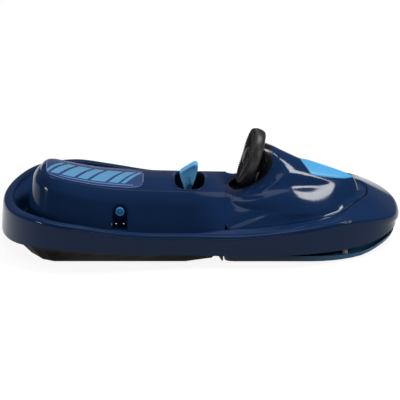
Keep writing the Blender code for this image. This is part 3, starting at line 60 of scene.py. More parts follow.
# Main lines, as the solids have them; RIM_LINE and CREST_LINE follow the photograph closer
LENGTH = 1.050
REAR_HALF_WIDTH = 0.268
FRONT_HALF_WIDTH = 0.238
REAR_ROUND = 0.250
NOSE_ROUND = 0.330
NOSE_SWEEP = 1.65
NOSE_BLUNTNESS = 0.43
NOSE_TUCK = 0.012
SKIRT_DRAFT = 0.004
WAIST_START = 0.250
WAIST_END = 0.550
RIM_WIDTH = 0.026
FENDER_WIDTH = 0.062
FENDER_START = 0.500
FENDER_FULL = 0.620
NOSE_BAND_WIDTH = 0.085
NOSE_RISE = 0.024
NOSE_RISE_START = 0.880
RIM_LINE = ((0.0, 0.106), (0.10, 0.122), (0.19, 0.119), (0.27, 0.107), (0.40, 0.091),
            (0.60, 0.083), (0.80, 0.100), (0.86, 0.106), (0.92, 0.1085), (0.952, 0.1040),
            (0.986, 0.0980), (1.033, 0.0845), (LENGTH, 0.072))
SKIRT_LINE = ((0.0, 0.027), (0.12, 0.051), (0.19, 0.053), (0.40, 0.038), (0.60, 0.030),
              (0.95, 0.032), (LENGTH, 0.043))
CREST_LINE = ((0.0, 0.203), (0.11, 0.2005), (0.18, 0.1860), (0.26, 0.1715), (0.36, 0.164),
              (0.50, 0.160), (0.5885, 0.1585))
WELL_FLOOR = 0.0355
WELL_REAR_RISE = 0.022
WELL_FRONT = 0.612
WELL_CORNER = 0.060
DECK_HEIGHT = 0.072
TOE_RAMP_START = 0.485
TOE_RAMP_END = 0.592
HUMP_REAR = 0.076
HUMP_FRONT = 0.5885
HOOD_REAR = 0.590
HOOD_CORNER_X = 0.606
HOOD_FULL = 0.660

# Columns of a half ring beside the foot well and round the front, and of the hood's rear edge
SIDE = 40
FRONT = 30
CROSSING = 24

FINE_STEPS = 24
CORNER_POWER = 0.6
WEAR = 0.35
RAY_START = 0.4


def px(station):
    return station - LENGTH / 2


def smooth(start, end, value):
    t = min(max((value - start) / (end - start), 0.0), 1.0)
    return t * t * (3 - 2 * t)


def hermite(points, value):
    """A smooth curve through (station, height) points, without overshoot."""
    xs = np.array([p[0] for p in points])
    ys = np.array([p[1] for p in points])
    slopes = np.diff(ys) / np.diff(xs)
    tangents = np.zeros(len(xs))
    for i in range(1, len(xs) - 1):
        if slopes[i - 1] * slopes[i] > 0:
            tangents[i] = 2 * slopes[i - 1] * slopes[i] / (slopes[i - 1] + slopes[i])
    tangents[0], tangents[-1] = slopes[0], slopes[-1]
    i = int(np.clip(np.searchsorted(xs, value) - 1, 0, len(xs) - 2))
    h = xs[i + 1] - xs[i]
    t = min(max((value - xs[i]) / h, 0.0), 1.0)
    return float((1 + 2 * t) * (1 - t) ** 2 * ys[i] + t * (1 - t) ** 2 * h * tangents[i]
                 + t * t * (3 - 2 * t) * ys[i + 1] + t * t * (t - 1) * h * tangents[i + 1])


def through(points, count):
    """Points spread evenly by chord along a smooth curve through 3-D points."""
    p = [Vector(q) for q in points]
    p = [2 * p[0] - p[1]] + p + [2 * p[-1] - p[-2]]
    p[0].x, p[-1].x = p[2].x, p[-3].x
    fine = []
    for i in range(1, len(p) - 2):
        for k in range(FINE_STEPS):
            t = k / FINE_STEPS
            fine.append(0.5 * (2 * p[i] + (p[i + 1] - p[i - 1]) * t
                               + (2 * p[i - 1] - 5 * p[i] + 4 * p[i + 1] - p[i + 2]) * t * t
                               + (3 * p[i] - p[i - 1] - 3 * p[i + 1] + p[i + 2]) * t ** 3))
    fine.append(p[-2])
    steps = np.cumsum([0.0] + [(b - a).length for a, b in zip(fine, fine[1:])])
    out = []
    for want in np.linspace(0.0, steps[-1], count):
        i = int(np.clip(np.searchsorted(steps, want) - 1, 0, len(fine) - 2))
        f = (want - steps[i]) / (steps[i + 1] - steps[i])
        out.append(fine[i].lerp(fine[i + 1], float(f)))
    out[0].y = out[-1].y = 0.0
    return [tuple(q) for q in out]


def rim_half(station):
    half = REAR_HALF_WIDTH + (FRONT_HALF_WIDTH - REAR_HALF_WIDTH) * smooth(
        WAIST_START, WAIST_END, station)
    if station < REAR_ROUND:
        t = (REAR_ROUND - station) / REAR_ROUND
        half *= math.sqrt(max(1 - t ** 2.3, 0.0))
    nose = LENGTH - NOSE_ROUND
    if station > nose:
        t = (station - nose) / NOSE_ROUND
        half *= max(1 - t ** NOSE_SWEEP, 0.0) ** NOSE_BLUNTNESS
    return half


def rim_width(station):
    width = RIM_WIDTH + (FENDER_WIDTH - RIM_WIDTH) * smooth(FENDER_START, FENDER_FULL, station)
    return width + (NOSE_BAND_WIDTH - FENDER_WIDTH) * smooth(LENGTH - 0.2, LENGTH, station)


def rim_height(station):
    return hermite(RIM_LINE, station)


def seat_height(station):
    """Height of the line on which the hood sits, which climbs from the rim at the nose."""
    return rim_height(station) + NOSE_RISE * smooth(NOSE_RISE_START, LENGTH - NOSE_BAND_WIDTH,
                                                    station)


def skirt_height(station):
    return hermite(SKIRT_LINE, station)


def skirt_inset(station):
    return NOSE_TUCK * smooth(NOSE_RISE_START, LENGTH, station) - SKIRT_DRAFT


def crest_height(station):
    return hermite(CREST_LINE, station)


def well_height(station):
    return WELL_FLOOR + WELL_REAR_RISE * smooth(0.20, 0.07, station)


def hull_station(u):
    split = SIDE / (SIDE + FRONT)
    if u < split:
        return WELL_FRONT * (1 - math.cos(math.pi / 2 * u / split))
    return WELL_FRONT + (LENGTH - WELL_FRONT) * math.sin(math.pi / 2 * (u - split) / (1 - split))


def hull_point(u, inset):
    station = hull_station(u)
    if u <= 0 or u >= 1:
        return (inset if u <= 0 else LENGTH - inset), 0.0
    step = 1e-4
    a, b = max(station - step, 0.0), min(station + step, LENGTH)
    along, across = b - a, rim_half(b) - rim_half(a)
    size = math.hypot(along, across)
    return station + inset * across / size, max(rim_half(station) - inset * along / size, 0.0)


def hull_ring(inset, height):
    ring = []
    for k in range(SIDE + FRONT + 1):
        u = k / (SIDE + FRONT)
        x, y = hull_point(u, inset(hull_station(u)))
        ring.append((x, y, height(x)))
    return ring


def well_ring(rear, front, half, height, corner, rear_round=0.12):
    """Half an outline round the well or the hump, rounded at the rear and front corner."""
    ring = []
    side_end = front - corner
    for k in range(SIDE + 1):
        x = rear + (side_end - rear) * (1 - math.cos(math.pi / 2 * k / SIDE))
        y = half(x)
        if x < rear + rear_round:
            t = (rear + rear_round - x) / rear_round
            y *= max(1 - t ** 2.3, 0.0) ** 0.45
        ring.append((x, y, height(x, y)))
    wide = half(side_end)
    for k in range(1, FRONT + 1):
        t = math.pi / 2 * k / FRONT
        x = side_end + corner * math.sin(t) ** CORNER_POWER
        y = wide * math.cos(t) ** CORNER_POWER if k < FRONT else 0.0
        ring.append((x, y, height(x, y)))
    return ring


def between(a, b, t, lift=0.0):
    """A ring part of the way from one to the next, bowed up by lift."""
    return [(p[0] + (q[0] - p[0]) * t, p[1] + (q[1] - p[1]) * t,
             p[2] + (q[2] - p[2]) * t + lift * 4 * t * (1 - t)) for p, q in zip(a, b)]


# Materials

def plastic(name, colour, roughness, grain=0.0, grain_scale=900.0, metallic=0.0, ripple=0.0,
            specular=0.5):
    """Moulded plastic: slight colour drift, rough patches, fine grain and a slow ripple."""
    mat = bpy.data.materials.new(name)
    mat.use_nodes = True
    nodes, links = mat.node_tree.nodes, mat.node_tree.links
    shader = nodes["Principled BSDF"]
    shader.inputs["Metallic"].default_value = metallic
    shader.inputs["Specular IOR Level"].default_value = specular
    where = nodes.new("ShaderNodeTexCoord")

    def noise(scale, detail, uneven=0.5):
        node = nodes.new("ShaderNodeTexNoise")
        for name, value in (("Scale", scale), ("Detail", detail), ("Roughness", uneven)):
            node.inputs[name].default_value = value
        links.new(where.outputs["Object"], node.inputs["Vector"])
        return node.outputs["Fac"]

    ramp = nodes.new("ShaderNodeValToRGB")
    ramp.color_ramp.elements[0].position = 0.30
    ramp.color_ramp.elements[1].position = 0.72
    ramp.color_ramp.elements[0].color = (*[c * 0.90 for c in colour], 1.0)
    ramp.color_ramp.elements[1].color = (*[min(c * 1.08, 1.0) for c in colour], 1.0)
    links.new(noise(9.0, 5.0), ramp.inputs["Fac"])
    links.new(ramp.outputs["Color"], shader.inputs["Base Color"])
    spread = nodes.new("ShaderNodeMapRange")
    spread.inputs["To Min"].default_value = roughness * (1 - WEAR / 2)
    spread.inputs["To Max"].default_value = roughness * (1 + WEAR)
    links.new(noise(38.0, 8.0, 0.65), spread.inputs["Value"])
    links.new(spread.outputs["Result"], shader.inputs["Roughness"])
    last = None
    for amount, scale, depth in ((ripple, 26.0, 0.004), (grain, grain_scale, 0.0004)):
        if not amount:
            continue
        bump = nodes.new("ShaderNodeBump")
        bump.inputs["Strength"].default_value = amount
        bump.inputs["Distance"].default_value = depth
        links.new(noise(scale, 2.0), bump.inputs["Height"])
        if last:
            links.new(last.outputs["Normal"], bump.inputs["Normal"])
        last = bump
    if last:
        links.new(last.outputs["Normal"], shader.inputs["Normal"])
    return mat


SHELL = plastic("shell_gloss", (0.0080, 0.0300, 0.0960), 0.10, ripple=0.02, grain=0.02,
                grain_scale=1500.0, specular=0.14)
BRIGHT = plastic("bright_plastic", (0.092, 0.450, 0.830), 0.30, grain=0.05, specular=0.25)
LEVER_BLUE = plastic("lever_plastic", (0.150, 0.530, 0.930), 0.30, grain=0.05, specular=0.25)
DARK_STEEL = plastic("dark_steel", (0.050, 0.050, 0.052), 0.40, grain=0.08, metallic=1.0)
KNOB = plastic("knob_plastic", (0.0240, 0.270, 0.520), 0.28, grain=0.04, specular=0.25)
BLACK = plastic("black_plastic_fine", (0.0095, 0.0092, 0.0098), 0.36, grain=0.10, specular=0.22)
GRIP = plastic("grip_rubber", (0.0150, 0.0143, 0.0150), 0.38, grain=0.16, grain_scale=1400.0,
               specular=0.50)
# Near-black finish inside the wheel's recess: partly the cowl's real black trim, partly painted
# shade.
RECESS_BLACK_AND_SHADE = plastic("recess_black_and_painted_shade", (0.0075, 0.0072, 0.0085), 0.22, grain=0.06, ripple=0.02,
                specular=0.30)
# Painted shade: a near-black navy for the inside of the lever's pocket, which is the shell's
# plastic in shadow.
POCKET_SHADE = plastic("pocket_painted_shade", (0.0035, 0.0080, 0.0220), 0.30, grain=0.05, specular=0.15)
SKI_PLASTIC = plastic("ski_plastic", (0.055, 0.190, 0.340), 0.34, grain=0.08, specular=0.2)
TAIL_PLASTIC = plastic("ski_tail_plastic", (0.014, 0.022, 0.034), 0.40, grain=0.08,
                       specular=0.2)
PAN_PLASTIC = plastic("pan_plastic", (0.0060, 0.0057, 0.0066), 0.55, grain=0.20,
                      specular=0.06)
STEEL = plastic("zinc_steel", (0.46, 0.47, 0.48), 0.30, grain=0.06, metallic=1.0)
BEARING = plastic("bearing_plastic", (0.62, 0.61, 0.56), 0.42, grain=0.05)


def paint_shade_behind(mat, painted_shade_colour, start, end):
    """Paints shade on a finish: fades it to a darker colour towards the rear, between two
    stations.
    """
    nodes, links = mat.node_tree.nodes, mat.node_tree.links
    shader = nodes["Principled BSDF"]
    front = shader.inputs["Base Color"].links[0].from_socket
    where = nodes.new("ShaderNodeTexCoord")
    split = nodes.new("ShaderNodeSeparateXYZ")
    links.new(where.outputs["Object"], split.inputs["Vector"])
    span = nodes.new("ShaderNodeMapRange")
    span.interpolation_type = "SMOOTHSTEP"
    span.inputs["From Min"].default_value = px(start)
    span.inputs["From Max"].default_value = px(end)
    links.new(split.outputs["X"], span.inputs["Value"])
    mix = nodes.new("ShaderNodeMix")
    mix.data_type = "RGBA"
    mix.inputs["A"].default_value = (*painted_shade_colour, 1.0)
    links.new(front, mix.inputs["B"])
    links.new(span.outputs["Result"], mix.inputs["Factor"])
    links.new(mix.outputs["Result"], shader.inputs["Base Color"])


# Painted shade: the ski's rear, which runs under the hull, darkens towards the tail.
paint_shade_behind(SKI_PLASTIC, (0.030, 0.060, 0.090), 0.72, 0.98)


def add_wall(obj, thickness):
    """Gives a sheet its wall, on the inner side."""
    skin = obj.modifiers.new("Wall", "SOLIDIFY")
    skin.thickness = thickness
    skin.offset = -1
    skin.use_even_offset = False


def mesh_piece(name, bm, material, level=0, wall=0.0, sharp=math.radians(40)):
    """Turns a bmesh into a shown piece, with its wall and smoothing applied as modifiers."""
    bmesh.ops.remove_doubles(bm, verts=bm.verts, dist=1e-6)
    bmesh.ops.dissolve_degenerate(bm, edges=bm.edges, dist=1e-7)
    bmesh.ops.recalc_face_normals(bm, faces=bm.faces)
    mesh = bpy.data.meshes.new(name)
    bm.to_mesh(mesh)
    bm.free()
    mesh.materials.append(material)
    mesh.shade_smooth()
    if not level:
        mesh.set_sharp_from_angle(angle=sharp)
    obj = bpy.data.objects.new(name, mesh)
    bpy.context.scene.collection.objects.link(obj)
    if level:
        sub = obj.modifiers.new("Smooth", "SUBSURF")
        sub.levels = sub.render_levels = level
        sub.boundary_smooth = "PRESERVE_CORNERS"
    if wall:
        add_wall(obj, wall)
    return obj


def loft_halves(rings, skip=lambda ring, column: False):
    """Skins half rings and their mirror image into one sheet, but for the faces skipped."""
    bm = bmesh.new()
    for side in (1, -1):
        rows = [[bm.verts.new((px(x), side * y, z)) for x, y, z in ring] for ring in rings]
        for n, (a, b) in enumerate(zip(rows, rows[1:])):
            for i in range(len(a) - 1):
                if not skip(n, i):
                    bm.faces.new((a[i], a[i + 1], b[i + 1], b[i]) if side > 0
                                 else (a[i + 1], a[i], b[i], b[i + 1]))
    bmesh.ops.remove_doubles(bm, verts=bm.verts, dist=1e-6)
    loose = [v for v in bm.verts if not v.link_faces]
    bmesh.ops.delete(bm, geom=loose, context="VERTS")
    return bm


def loft_loops(loops, cap=True):
    """Skins closed loops of points, with the two ends capped or left open."""
    bm = bmesh.new()
    rows = [[bm.verts.new(p) for p in loop] for loop in loops]
    for a, b in zip(rows, rows[1:]):
        for i in range(len(a)):
            j = (i + 1) % len(a)
            bm.faces.new((a[i], a[j], b[j], b[i]))
    if cap:
        bm.faces.new(rows[0][::-1])
        bm.faces.new(rows[-1])
    return bm


def grid_faces(bm, rows):
    for a, b in zip(rows, rows[1:]):
        for i in range(len(a) - 1):
            bm.faces.new((a[i], b[i], b[i + 1], a[i + 1]))


def turned(profile, sides, matrix):
    """A body turned from a profile of (radius, height) points, moved to its place."""
    bm = loft_loops([[Vector((r * math.cos(2 * math.pi * k / sides),
                              r * math.sin(2 * math.pi * k / sides), z)) for k in range(sides)]
                     for r, z in profile])
    bmesh.ops.transform(bm, matrix=matrix, verts=bm.verts)
    return bm


def along_y(x, z):
    return Matrix.Translation((px(x), 0.0, z)) @ Matrix.Rotation(math.radians(-90), 4, "X")


def prism(outline, low, high, axis="Z"):
    if axis == "Z":
        return loft_loops([[(x, y, level) for x, y in outline] for level in (low, high)])
    return loft_loops([[(x, level, z) for x, z in outline] for level in (low, high)])


def bevelled(obj, width, segments=3, angle=35):
    mod = obj.modifiers.new("Edges", "BEVEL")
    mod.width = width
    mod.segments = segments
    mod.limit_method = "ANGLE"
    mod.angle_limit = math.radians(angle)
    mod.harden_normals = False
    return obj


def cutter(name, bm):
    obj = mesh_piece(name, bm, SHELL)
    obj.hide_render = True
    obj.display_type = "WIRE"
    return obj


def bake(obj):
    """Replaces an object's mesh by its finished form, so that nothing later changes it."""
    graph = bpy.context.evaluated_depsgraph_get()
    made = bpy.data.meshes.new_from_object(obj.evaluated_get(graph))
    old = obj.data
    obj.modifiers.clear()
    obj.data = made
    bpy.data.meshes.remove(old)
    return obj


def carve(obj, tools):
    """Cuts closed tools away with an exact Boolean and removes them."""
    for tool in tools:
        mod = obj.modifiers.new(tool.name, "BOOLEAN")
        mod.operation = "DIFFERENCE"
        mod.solver = "EXACT"
        mod.object = tool
    bake(obj)
    for tool in tools:
        bpy.data.objects.remove(tool)
    return obj


# Tub

HUMP_BASE_HALF = 0.146
HUMP_SHOULDER_HALF = 0.106
SEAT_EDGE_HALF = 0.080
SHOULDER_DROP = 0.036
SEAT_EDGE_DROP = 0.009
FLARE_START = 0.470
FLARE_END = 0.585
FOOT_FLARE = 0.020
SHOULDER_FLARE = 0.010
SHARP_CORNER = 0.0005
TUB_WALL = 0.0032
HUMP_RING = 19


def flare(x):
    """How far the hump's foot swings out towards the fender in front of the foot wells."""
    return smooth(FLARE_START, FLARE_END, x)


def ramp(x):
    """The well's floor, which climbs to the deck at the toes."""
    rear = well_height(x)
    return rear + (DECK_HEIGHT - rear) * smooth(TOE_RAMP_START, TOE_RAMP_END, x)


def base_half(x):
    return HUMP_BASE_HALF + FOOT_FLARE * flare(x)


def shoulder_half(x):
    return HUMP_SHOULDER_HALF + SHOULDER_FLARE * flare(x)


def dip(x, y):
    """The seat's front end sinks in the middle to meet the cockpit's rear edge."""
    return 0.013 * smooth(0.555, HUMP_FRONT, x) * (1 - smooth(0.030, 0.078, abs(y)))


def tub_rings():
    def deck(x):
        side = rim_height(x) - 0.012
        return side + (DECK_HEIGHT - side) * smooth(FENDER_START, FENDER_FULL, x)

    def inner(x):
        return rim_half(x) - rim_width(min(x, FENDER_START))

    def less(drop):
        return lambda x, y: crest_height(x) - drop - dip(x, y)

    rings = [
        hull_ring(skirt_inset, skirt_height),
        hull_ring(lambda s: skirt_inset(s) - 0.0002, lambda s: skirt_height(s) + 0.0025),
        hull_ring(lambda s: skirt_inset(s) * 0.75, lambda s: skirt_height(s) * 0.6
                  + rim_height(s) * 0.4),
        hull_ring(lambda s: skirt_inset(s) * 0.3, lambda s: rim_height(s) - 0.018),
        hull_ring(lambda s: -0.0002, lambda s: rim_height(s) - 0.0075),
        hull_ring(lambda s: 0.0022, lambda s: rim_height(s) - 0.0020),
        hull_ring(lambda s: 0.0062, lambda s: rim_height(s) + 0.0002),
        hull_ring(lambda s: rim_width(s) * 0.5, lambda s: (rim_height(s) + seat_height(s)) / 2
                  + 0.0008),
        hull_ring(lambda s: rim_width(s) - 0.0070, lambda s: seat_height(s) + 0.0010),
        hull_ring(lambda s: rim_width(s) - 0.0022, lambda s: seat_height(s) - 0.0002),
        hull_ring(lambda s: rim_width(s) + 0.0002, lambda s: seat_height(s) - 0.0034),
        hull_ring(lambda s: rim_width(s) + 0.0010, lambda s: seat_height(s) - 0.0100),
        hull_ring(lambda s: rim_width(s) + 0.0035, deck),
    ]
    edge = well_ring(RIM_WIDTH + 0.010, WELL_FRONT, lambda x: inner(x) - 0.010,
                     lambda x, y: rim_height(x) - 0.022
                     + (DECK_HEIGHT - rim_height(x) + 0.022)
                     * smooth(FENDER_START, TOE_RAMP_END, x), WELL_CORNER, REAR_ROUND - 0.04)
    bottom = well_ring(RIM_WIDTH + 0.026, WELL_FRONT - 0.012, lambda x: inner(x) - 0.035,
                       lambda x, y: ramp(x), WELL_CORNER, REAR_ROUND - 0.07)
    base = well_ring(HUMP_REAR - 0.016, HUMP_FRONT, base_half, lambda x, y: ramp(x),
                     SHARP_CORNER)
    shoulder = well_ring(HUMP_REAR + 0.004, HUMP_FRONT, shoulder_half,
                         less(SHOULDER_DROP), SHARP_CORNER, 0.10)
    seat_low = well_ring(HUMP_REAR + 0.0235, HUMP_FRONT, lambda x: SEAT_EDGE_HALF,
                         lambda x, y: crest_height(x) - SEAT_EDGE_DROP
                         - 0.0022 * smooth(0.36, 0.22, x), SHARP_CORNER, 0.05)
    seat = well_ring(HUMP_REAR + 0.0248, HUMP_FRONT, lambda x: SEAT_EDGE_HALF - 0.0020,
                     less(SEAT_EDGE_DROP), SHARP_CORNER, 0.05)
    crest = well_ring(HUMP_REAR + 0.035, HUMP_FRONT, lambda x: 0.0, less(0.0), SHARP_CORNER,
                      0.04)
    rings += [edge, between(edge, bottom, 0.45, -0.002), between(edge, bottom, 0.86, -0.002),
              bottom, between(bottom, base, 0.5), between(bottom, base, 0.93),
              between(base, shoulder, 0.10), between(base, shoulder, 0.35, 0.002),
              between(base, shoulder, 0.65, 0.003), between(base, shoulder, 0.90, 0.002),
              shoulder, between(shoulder, seat_low, 0.22, 0.003),
              between(shoulder, seat_low, 0.6, 0.003), between(shoulder, seat_low, 0.92, 0.001),
              seat_low, seat, between(seat, crest, 0.08, 0.0006),
              between(seat, crest, 0.35, 0.0015), between(seat, crest, 0.7, 0.001), crest]
    return rings


def hump_section():
    """The hump's outline at its front end, as (y, z) from the middle outwards."""
    section = [ring[SIDE] for ring in tub_rings()[HUMP_RING:]]
    return [(y, z) for _, y, z in section][::-1]


KNOB_X = 0.310
NICHE_HALF, NICHE_TOP, NICHE_BOTTOM = 0.0215, 0.127, 0.060
LEVER_X, LEVER_Z = 0.490, 0.112
TRIM_LINE = ((0.7875, 0.0), (0.7930, 0.012), (0.8005, 0.025), (0.8085, 0.0385),
             (0.8155, 0.0480), (0.8230, 0.0490), (0.8400, 0.0450), (0.8620, 0.0385),
             (0.8870, 0.0300), (0.9050, 0.0215), (0.9180, 0.0110), (0.9255, 0.0))
TRIM_RISE = 0.0022
POCKET_REAR, POCKET_FRONT, POCKET_HALF, POCKET_STEPS = 0.4525, 0.536, 0.071, 64


def niche_outline(half, steps=16):
    centre_z = NICHE_TOP - NICHE_HALF
    outline = [(px(KNOB_X) - half, NICHE_BOTTOM), (px(KNOB_X) + half, NICHE_BOTTOM)]
    for k in range(steps + 1):
        angle = math.pi * k / steps
        outline.append((px(KNOB_X) + half * math.cos(angle), centre_z + half * math.sin(angle)))
    return outline


def pocket_outline(inset):
    """The pocket's rounded oval, as (x, y), pulled in by inset."""
    middle = px((POCKET_REAR + POCKET_FRONT) / 2)
    reach = (POCKET_FRONT - POCKET_REAR) / 2 - inset
    out = []
    for k in range(POCKET_STEPS):
        t = 2 * math.pi * k / POCKET_STEPS
        c, s = math.cos(t), math.sin(t)
        out.append((middle + reach * math.copysign(abs(c) ** 0.72, c),
                    (POCKET_HALF - inset) * math.copysign(abs(s) ** 0.72, s)))
    return out


def surface_of(obj):
    """The finished outside of a piece, for rays that set other pieces on it."""
    graph = bpy.context.evaluated_depsgraph_get()
    shape = bpy.data.meshes.new_from_object(obj.evaluated_get(graph))
    probe = bmesh.new()
    probe.from_mesh(shape)
    surface = BVHTree.FromBMesh(probe)
    probe.free()
    bpy.data.meshes.remove(shape)
    return surface


def height_on(surface, x, y):
    """Height at which a ray from above meets a surface, or None where it misses."""
    hit = surface.ray_cast(Vector((x, y, RAY_START)), Vector((0, 0, -1)))[0]
    return None if hit is None else hit.z


def seam_line(mesh):
    """The mesh's open edge where hump and hood meet, as (y, z) from the middle outwards."""
    bm = bmesh.new()
    bm.from_mesh(mesh)
    x = px(HUMP_FRONT)
    line = sorted({(round(v.co.y, 6), round(v.co.z, 6)) for e in bm.edges if e.is_boundary
                   for v in e.verts if abs(v.co.x - x) < 0.0012 and v.co.y > -1e-5
                   and v.co.y < base_half(HUMP_FRONT) + 0.001 and v.co.z > DECK_HEIGHT + 0.001})
    bm.free()
    return line


def seam_normal(line, y, z):
    """The outward normal of the seam's section at the point nearest to (y, z)."""
    here = Vector((abs(y), z))
    best = None
    for i in range(1, len(line) - 1):
        gap = (Vector(line[i]) - here).length
        if best is None or gap < best[0]:
            along = Vector(line[i + 1]) - Vector(line[i - 1])
            best = (gap, Vector((0.0, -along.y, along.x)).normalized())
    normal = best[1]
    return Vector((0.0, math.copysign(1.0, y) * normal.y if abs(y) > 0.002 else 0.0,
                   normal.z)).normalized()


def meet_at_seam(obj, line, reach):
    """Turns the shading normals near the seam to the section's, so that it shows no line."""
    mesh = obj.data
    x0 = px(HUMP_FRONT)
    widest = line[-1][0]
    known = {}
    out = []
    corner = [c.vector.copy() for c in mesh.corner_normals]
    for loop, own in zip(mesh.loops, corner):
        p = mesh.vertices[loop.vertex_index].co
        gap = abs(p.x - x0)
        if gap > reach or own.z < 0.05 or abs(p.y) > widest + 0.001:
            out.append(own)
            continue
        key = loop.vertex_index
        if key not in known:
            known[key] = seam_normal(line, p.y, p.z)
        weight = smooth(reach, 0.0, gap)
        out.append(own.lerp(known[key], weight).normalized() if own.dot(known[key]) > 0.55
                   else own)
    mesh.normals_split_custom_set(out)


def make_tub():
    tub = mesh_piece("tub_skin", loft_halves(
        tub_rings(), skip=lambda ring, column: ring >= HUMP_RING - 1 and column >= SIDE),
        SHELL, level=2)
    bake(tub)
    line = seam_line(tub.data)
    add_wall(tub, TUB_WALL)
    bake(tub)
    surface = surface_of(tub)
    tools = [cutter("pocket_tool", prism(pocket_outline(0.0012), 0.098, 0.22))]
    for side in (1, -1):
        tools.append(cutter(f"niche_tool_{side}", prism(
            niche_outline(NICHE_HALF + 0.0003), side * 0.09, side * 0.18, "Y")))
    carve(tub, tools)
    tub.data.set_sharp_from_angle(angle=math.radians(45))
    meet_at_seam(tub, line, 0.012)
    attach(tub, "body")
    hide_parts("upper_shell")
    return surface, line


# Hood

CREASE_LINE = ((0.5915, 0.0, 0.1452), (0.5945, 0.070, 0.1495), (0.6060, 0.104, 0.1300),
               (0.640, 0.126, 0.1220), (0.700, 0.147, 0.1220), (0.777, 0.157, 0.118),
               (0.846, 0.134, 0.118), (0.902, 0.084, 0.124), (0.943, 0.0, 0.130))
DOME_LINE = ((0.5930, 0.0, 0.1450), (0.6005, 0.066, 0.1470), (0.622, 0.101, 0.1370),
             (0.658, 0.117, 0.142), (0.708, 0.120, 0.157), (0.760, 0.102, 0.166),
             (0.818, 0.072, 0.165), (0.880, 0.046, 0.165), (0.9265, 0.0, 0.164))
BROW_LINE = ((0.5942, 0.0, 0.1448), (0.6040, 0.062, 0.1450), (0.626, 0.093, 0.1430),
             (0.657, 0.106, 0.151), (0.692, 0.103, 0.164), (0.726, 0.090, 0.184),
             (0.757, 0.065, 0.200), (0.784, 0.033, 0.2060), (0.792, 0.0, 0.211))
LIP_LINE = ((0.5955, 0.0, 0.1445), (0.609, 0.059, 0.1435), (0.630, 0.085, 0.1475),
            (0.655, 0.091, 0.153), (0.682, 0.087, 0.164), (0.704, 0.078, 0.178),
            (0.721, 0.063, 0.200), (0.730, 0.042, 0.223), (0.732, 0.020, 0.236),
            (0.731, 0.0, 0.240))
BAND_LINE = ((0.5965, 0.0, 0.1440), (0.612, 0.042, 0.1430), (0.630, 0.058, 0.151),
             (0.648, 0.065, 0.160), (0.6706, 0.068, 0.1695), (0.6866, 0.067, 0.182),
             (0.6998, 0.064, 0.195), (0.7110, 0.057, 0.2096), (0.7165, 0.045, 0.2240),
             (0.7155, 0.022, 0.2440), (0.7110, 0.0, 0.2505))
COLLAR_LINE = ((0.5975, 0.0, 0.1432), (0.612, 0.040, 0.1425), (0.630, 0.055, 0.1505),
               (0.648, 0.060, 0.160), (0.667, 0.061, 0.172), (0.682, 0.059, 0.185),
               (0.693, 0.053, 0.203), (0.6965, 0.044, 0.2300), (0.6885, 0.028, 0.2520),
               (0.6850, 0.0, 0.2615))
POD_LINE = ((0.6025, 0.0, 0.1300), (0.618, 0.041, 0.128), (0.636, 0.064, 0.130),
            (0.656, 0.069, 0.138), (0.676, 0.065, 0.152), (0.692, 0.056, 0.170),
            (0.703, 0.044, 0.190), (0.709, 0.026, 0.211), (0.708, 0.0, 0.222))
FLOOR_LINE = ((0.610, 0.0, 0.1260), (0.620, 0.034, 0.125), (0.634, 0.056, 0.125),
              (0.650, 0.062, 0.125), (0.663, 0.060, 0.126), (0.672, 0.052, 0.128),
              (0.677, 0.038, 0.130), (0.679, 0.022, 0.131), (0.680, 0.0, 0.132))


def hood_base(gap, drop=0.0):
    """The hood's lower edge: across the seat's front, then along the fender to the nose."""
    ring = []
    side_y = rim_half(HOOD_CORNER_X) - rim_width(HOOD_CORNER_X) - gap
    section = hump_section() + [(side_y, seat_height(HOOD_CORNER_X))]
    steps = np.cumsum([0.0] + [math.dist(a, b) for a, b in zip(section, section[1:])])
    for k in range(CROSSING):
        along = steps[-1] * k / CROSSING
        y = float(np.interp(along, steps, [q[0] for q in section]))
        z = float(np.interp(along, steps, [q[1] for q in section]))
        x = HUMP_FRONT + (HOOD_CORNER_X - HUMP_FRONT) * smooth(0.84, 1.0, k / CROSSING)
        ring.append((x + drop * 0.1, y, z - drop))
    for k in range(FRONT + 1):
        u = (SIDE + k) / (SIDE + FRONT)
        x, y = hull_point(u, rim_width(hull_station(u)) + gap)
        if k == 0:
            x, y = HOOD_CORNER_X, side_y
        ring.append((x, y, seat_height(x) - drop))
    return ring


def hood_rings():
    count = CROSSING + FRONT + 1
    base = hood_base(0.0016)
    under = hood_base(0.0022, 0.007)
    crease, dome, brow, lip, band, collar, pod, floor = [through(line, count) for line in (
        CREASE_LINE, DOME_LINE, BROW_LINE, LIP_LINE, BAND_LINE, COLLAR_LINE, POD_LINE,
        FLOOR_LINE)]
    centre = [(0.648, p[1] * 0.02, 0.1265) for p in floor]

    def bulged(a, b, t, lift):
        """A ring between two lines, lifted except at the hood's narrow rear edge."""
        rise = 4 * lift * t * (1 - t)
        return [(x, y, z + rise * smooth(HOOD_REAR, HOOD_FULL, x)) for x, y, z in between(a, b, t)]

    return [under, between(under, base, 0.75), base, bulged(base, crease, 0.25, -0.003),
            bulged(base, crease, 0.6, -0.003), bulged(base, crease, 0.92, -0.002), crease,
            bulged(crease, dome, 0.10, 0.004), bulged(crease, dome, 0.4, 0.005),
            bulged(crease, dome, 0.75, 0.005), dome, bulged(dome, brow, 0.3, 0.0015),
            bulged(dome, brow, 0.7, 0.0015), brow, between(brow, lip, 0.3),
            between(brow, lip, 0.8), lip, bulged(lip, band, 0.25, 0.0006),
            between(lip, band, 0.92), band, bulged(band, collar, 0.5, 0.0008), collar,
            between(collar, pod, 0.12), between(collar, pod, 0.5), pod,
            between(pod, floor, 0.4), between(pod, floor, 0.85, -0.002), floor, centre]


RECESS_RING = 19
HOOD_WALL = 0.0030
SNAP_REACH = 0.004
SEAM_SLACK = 0.0012


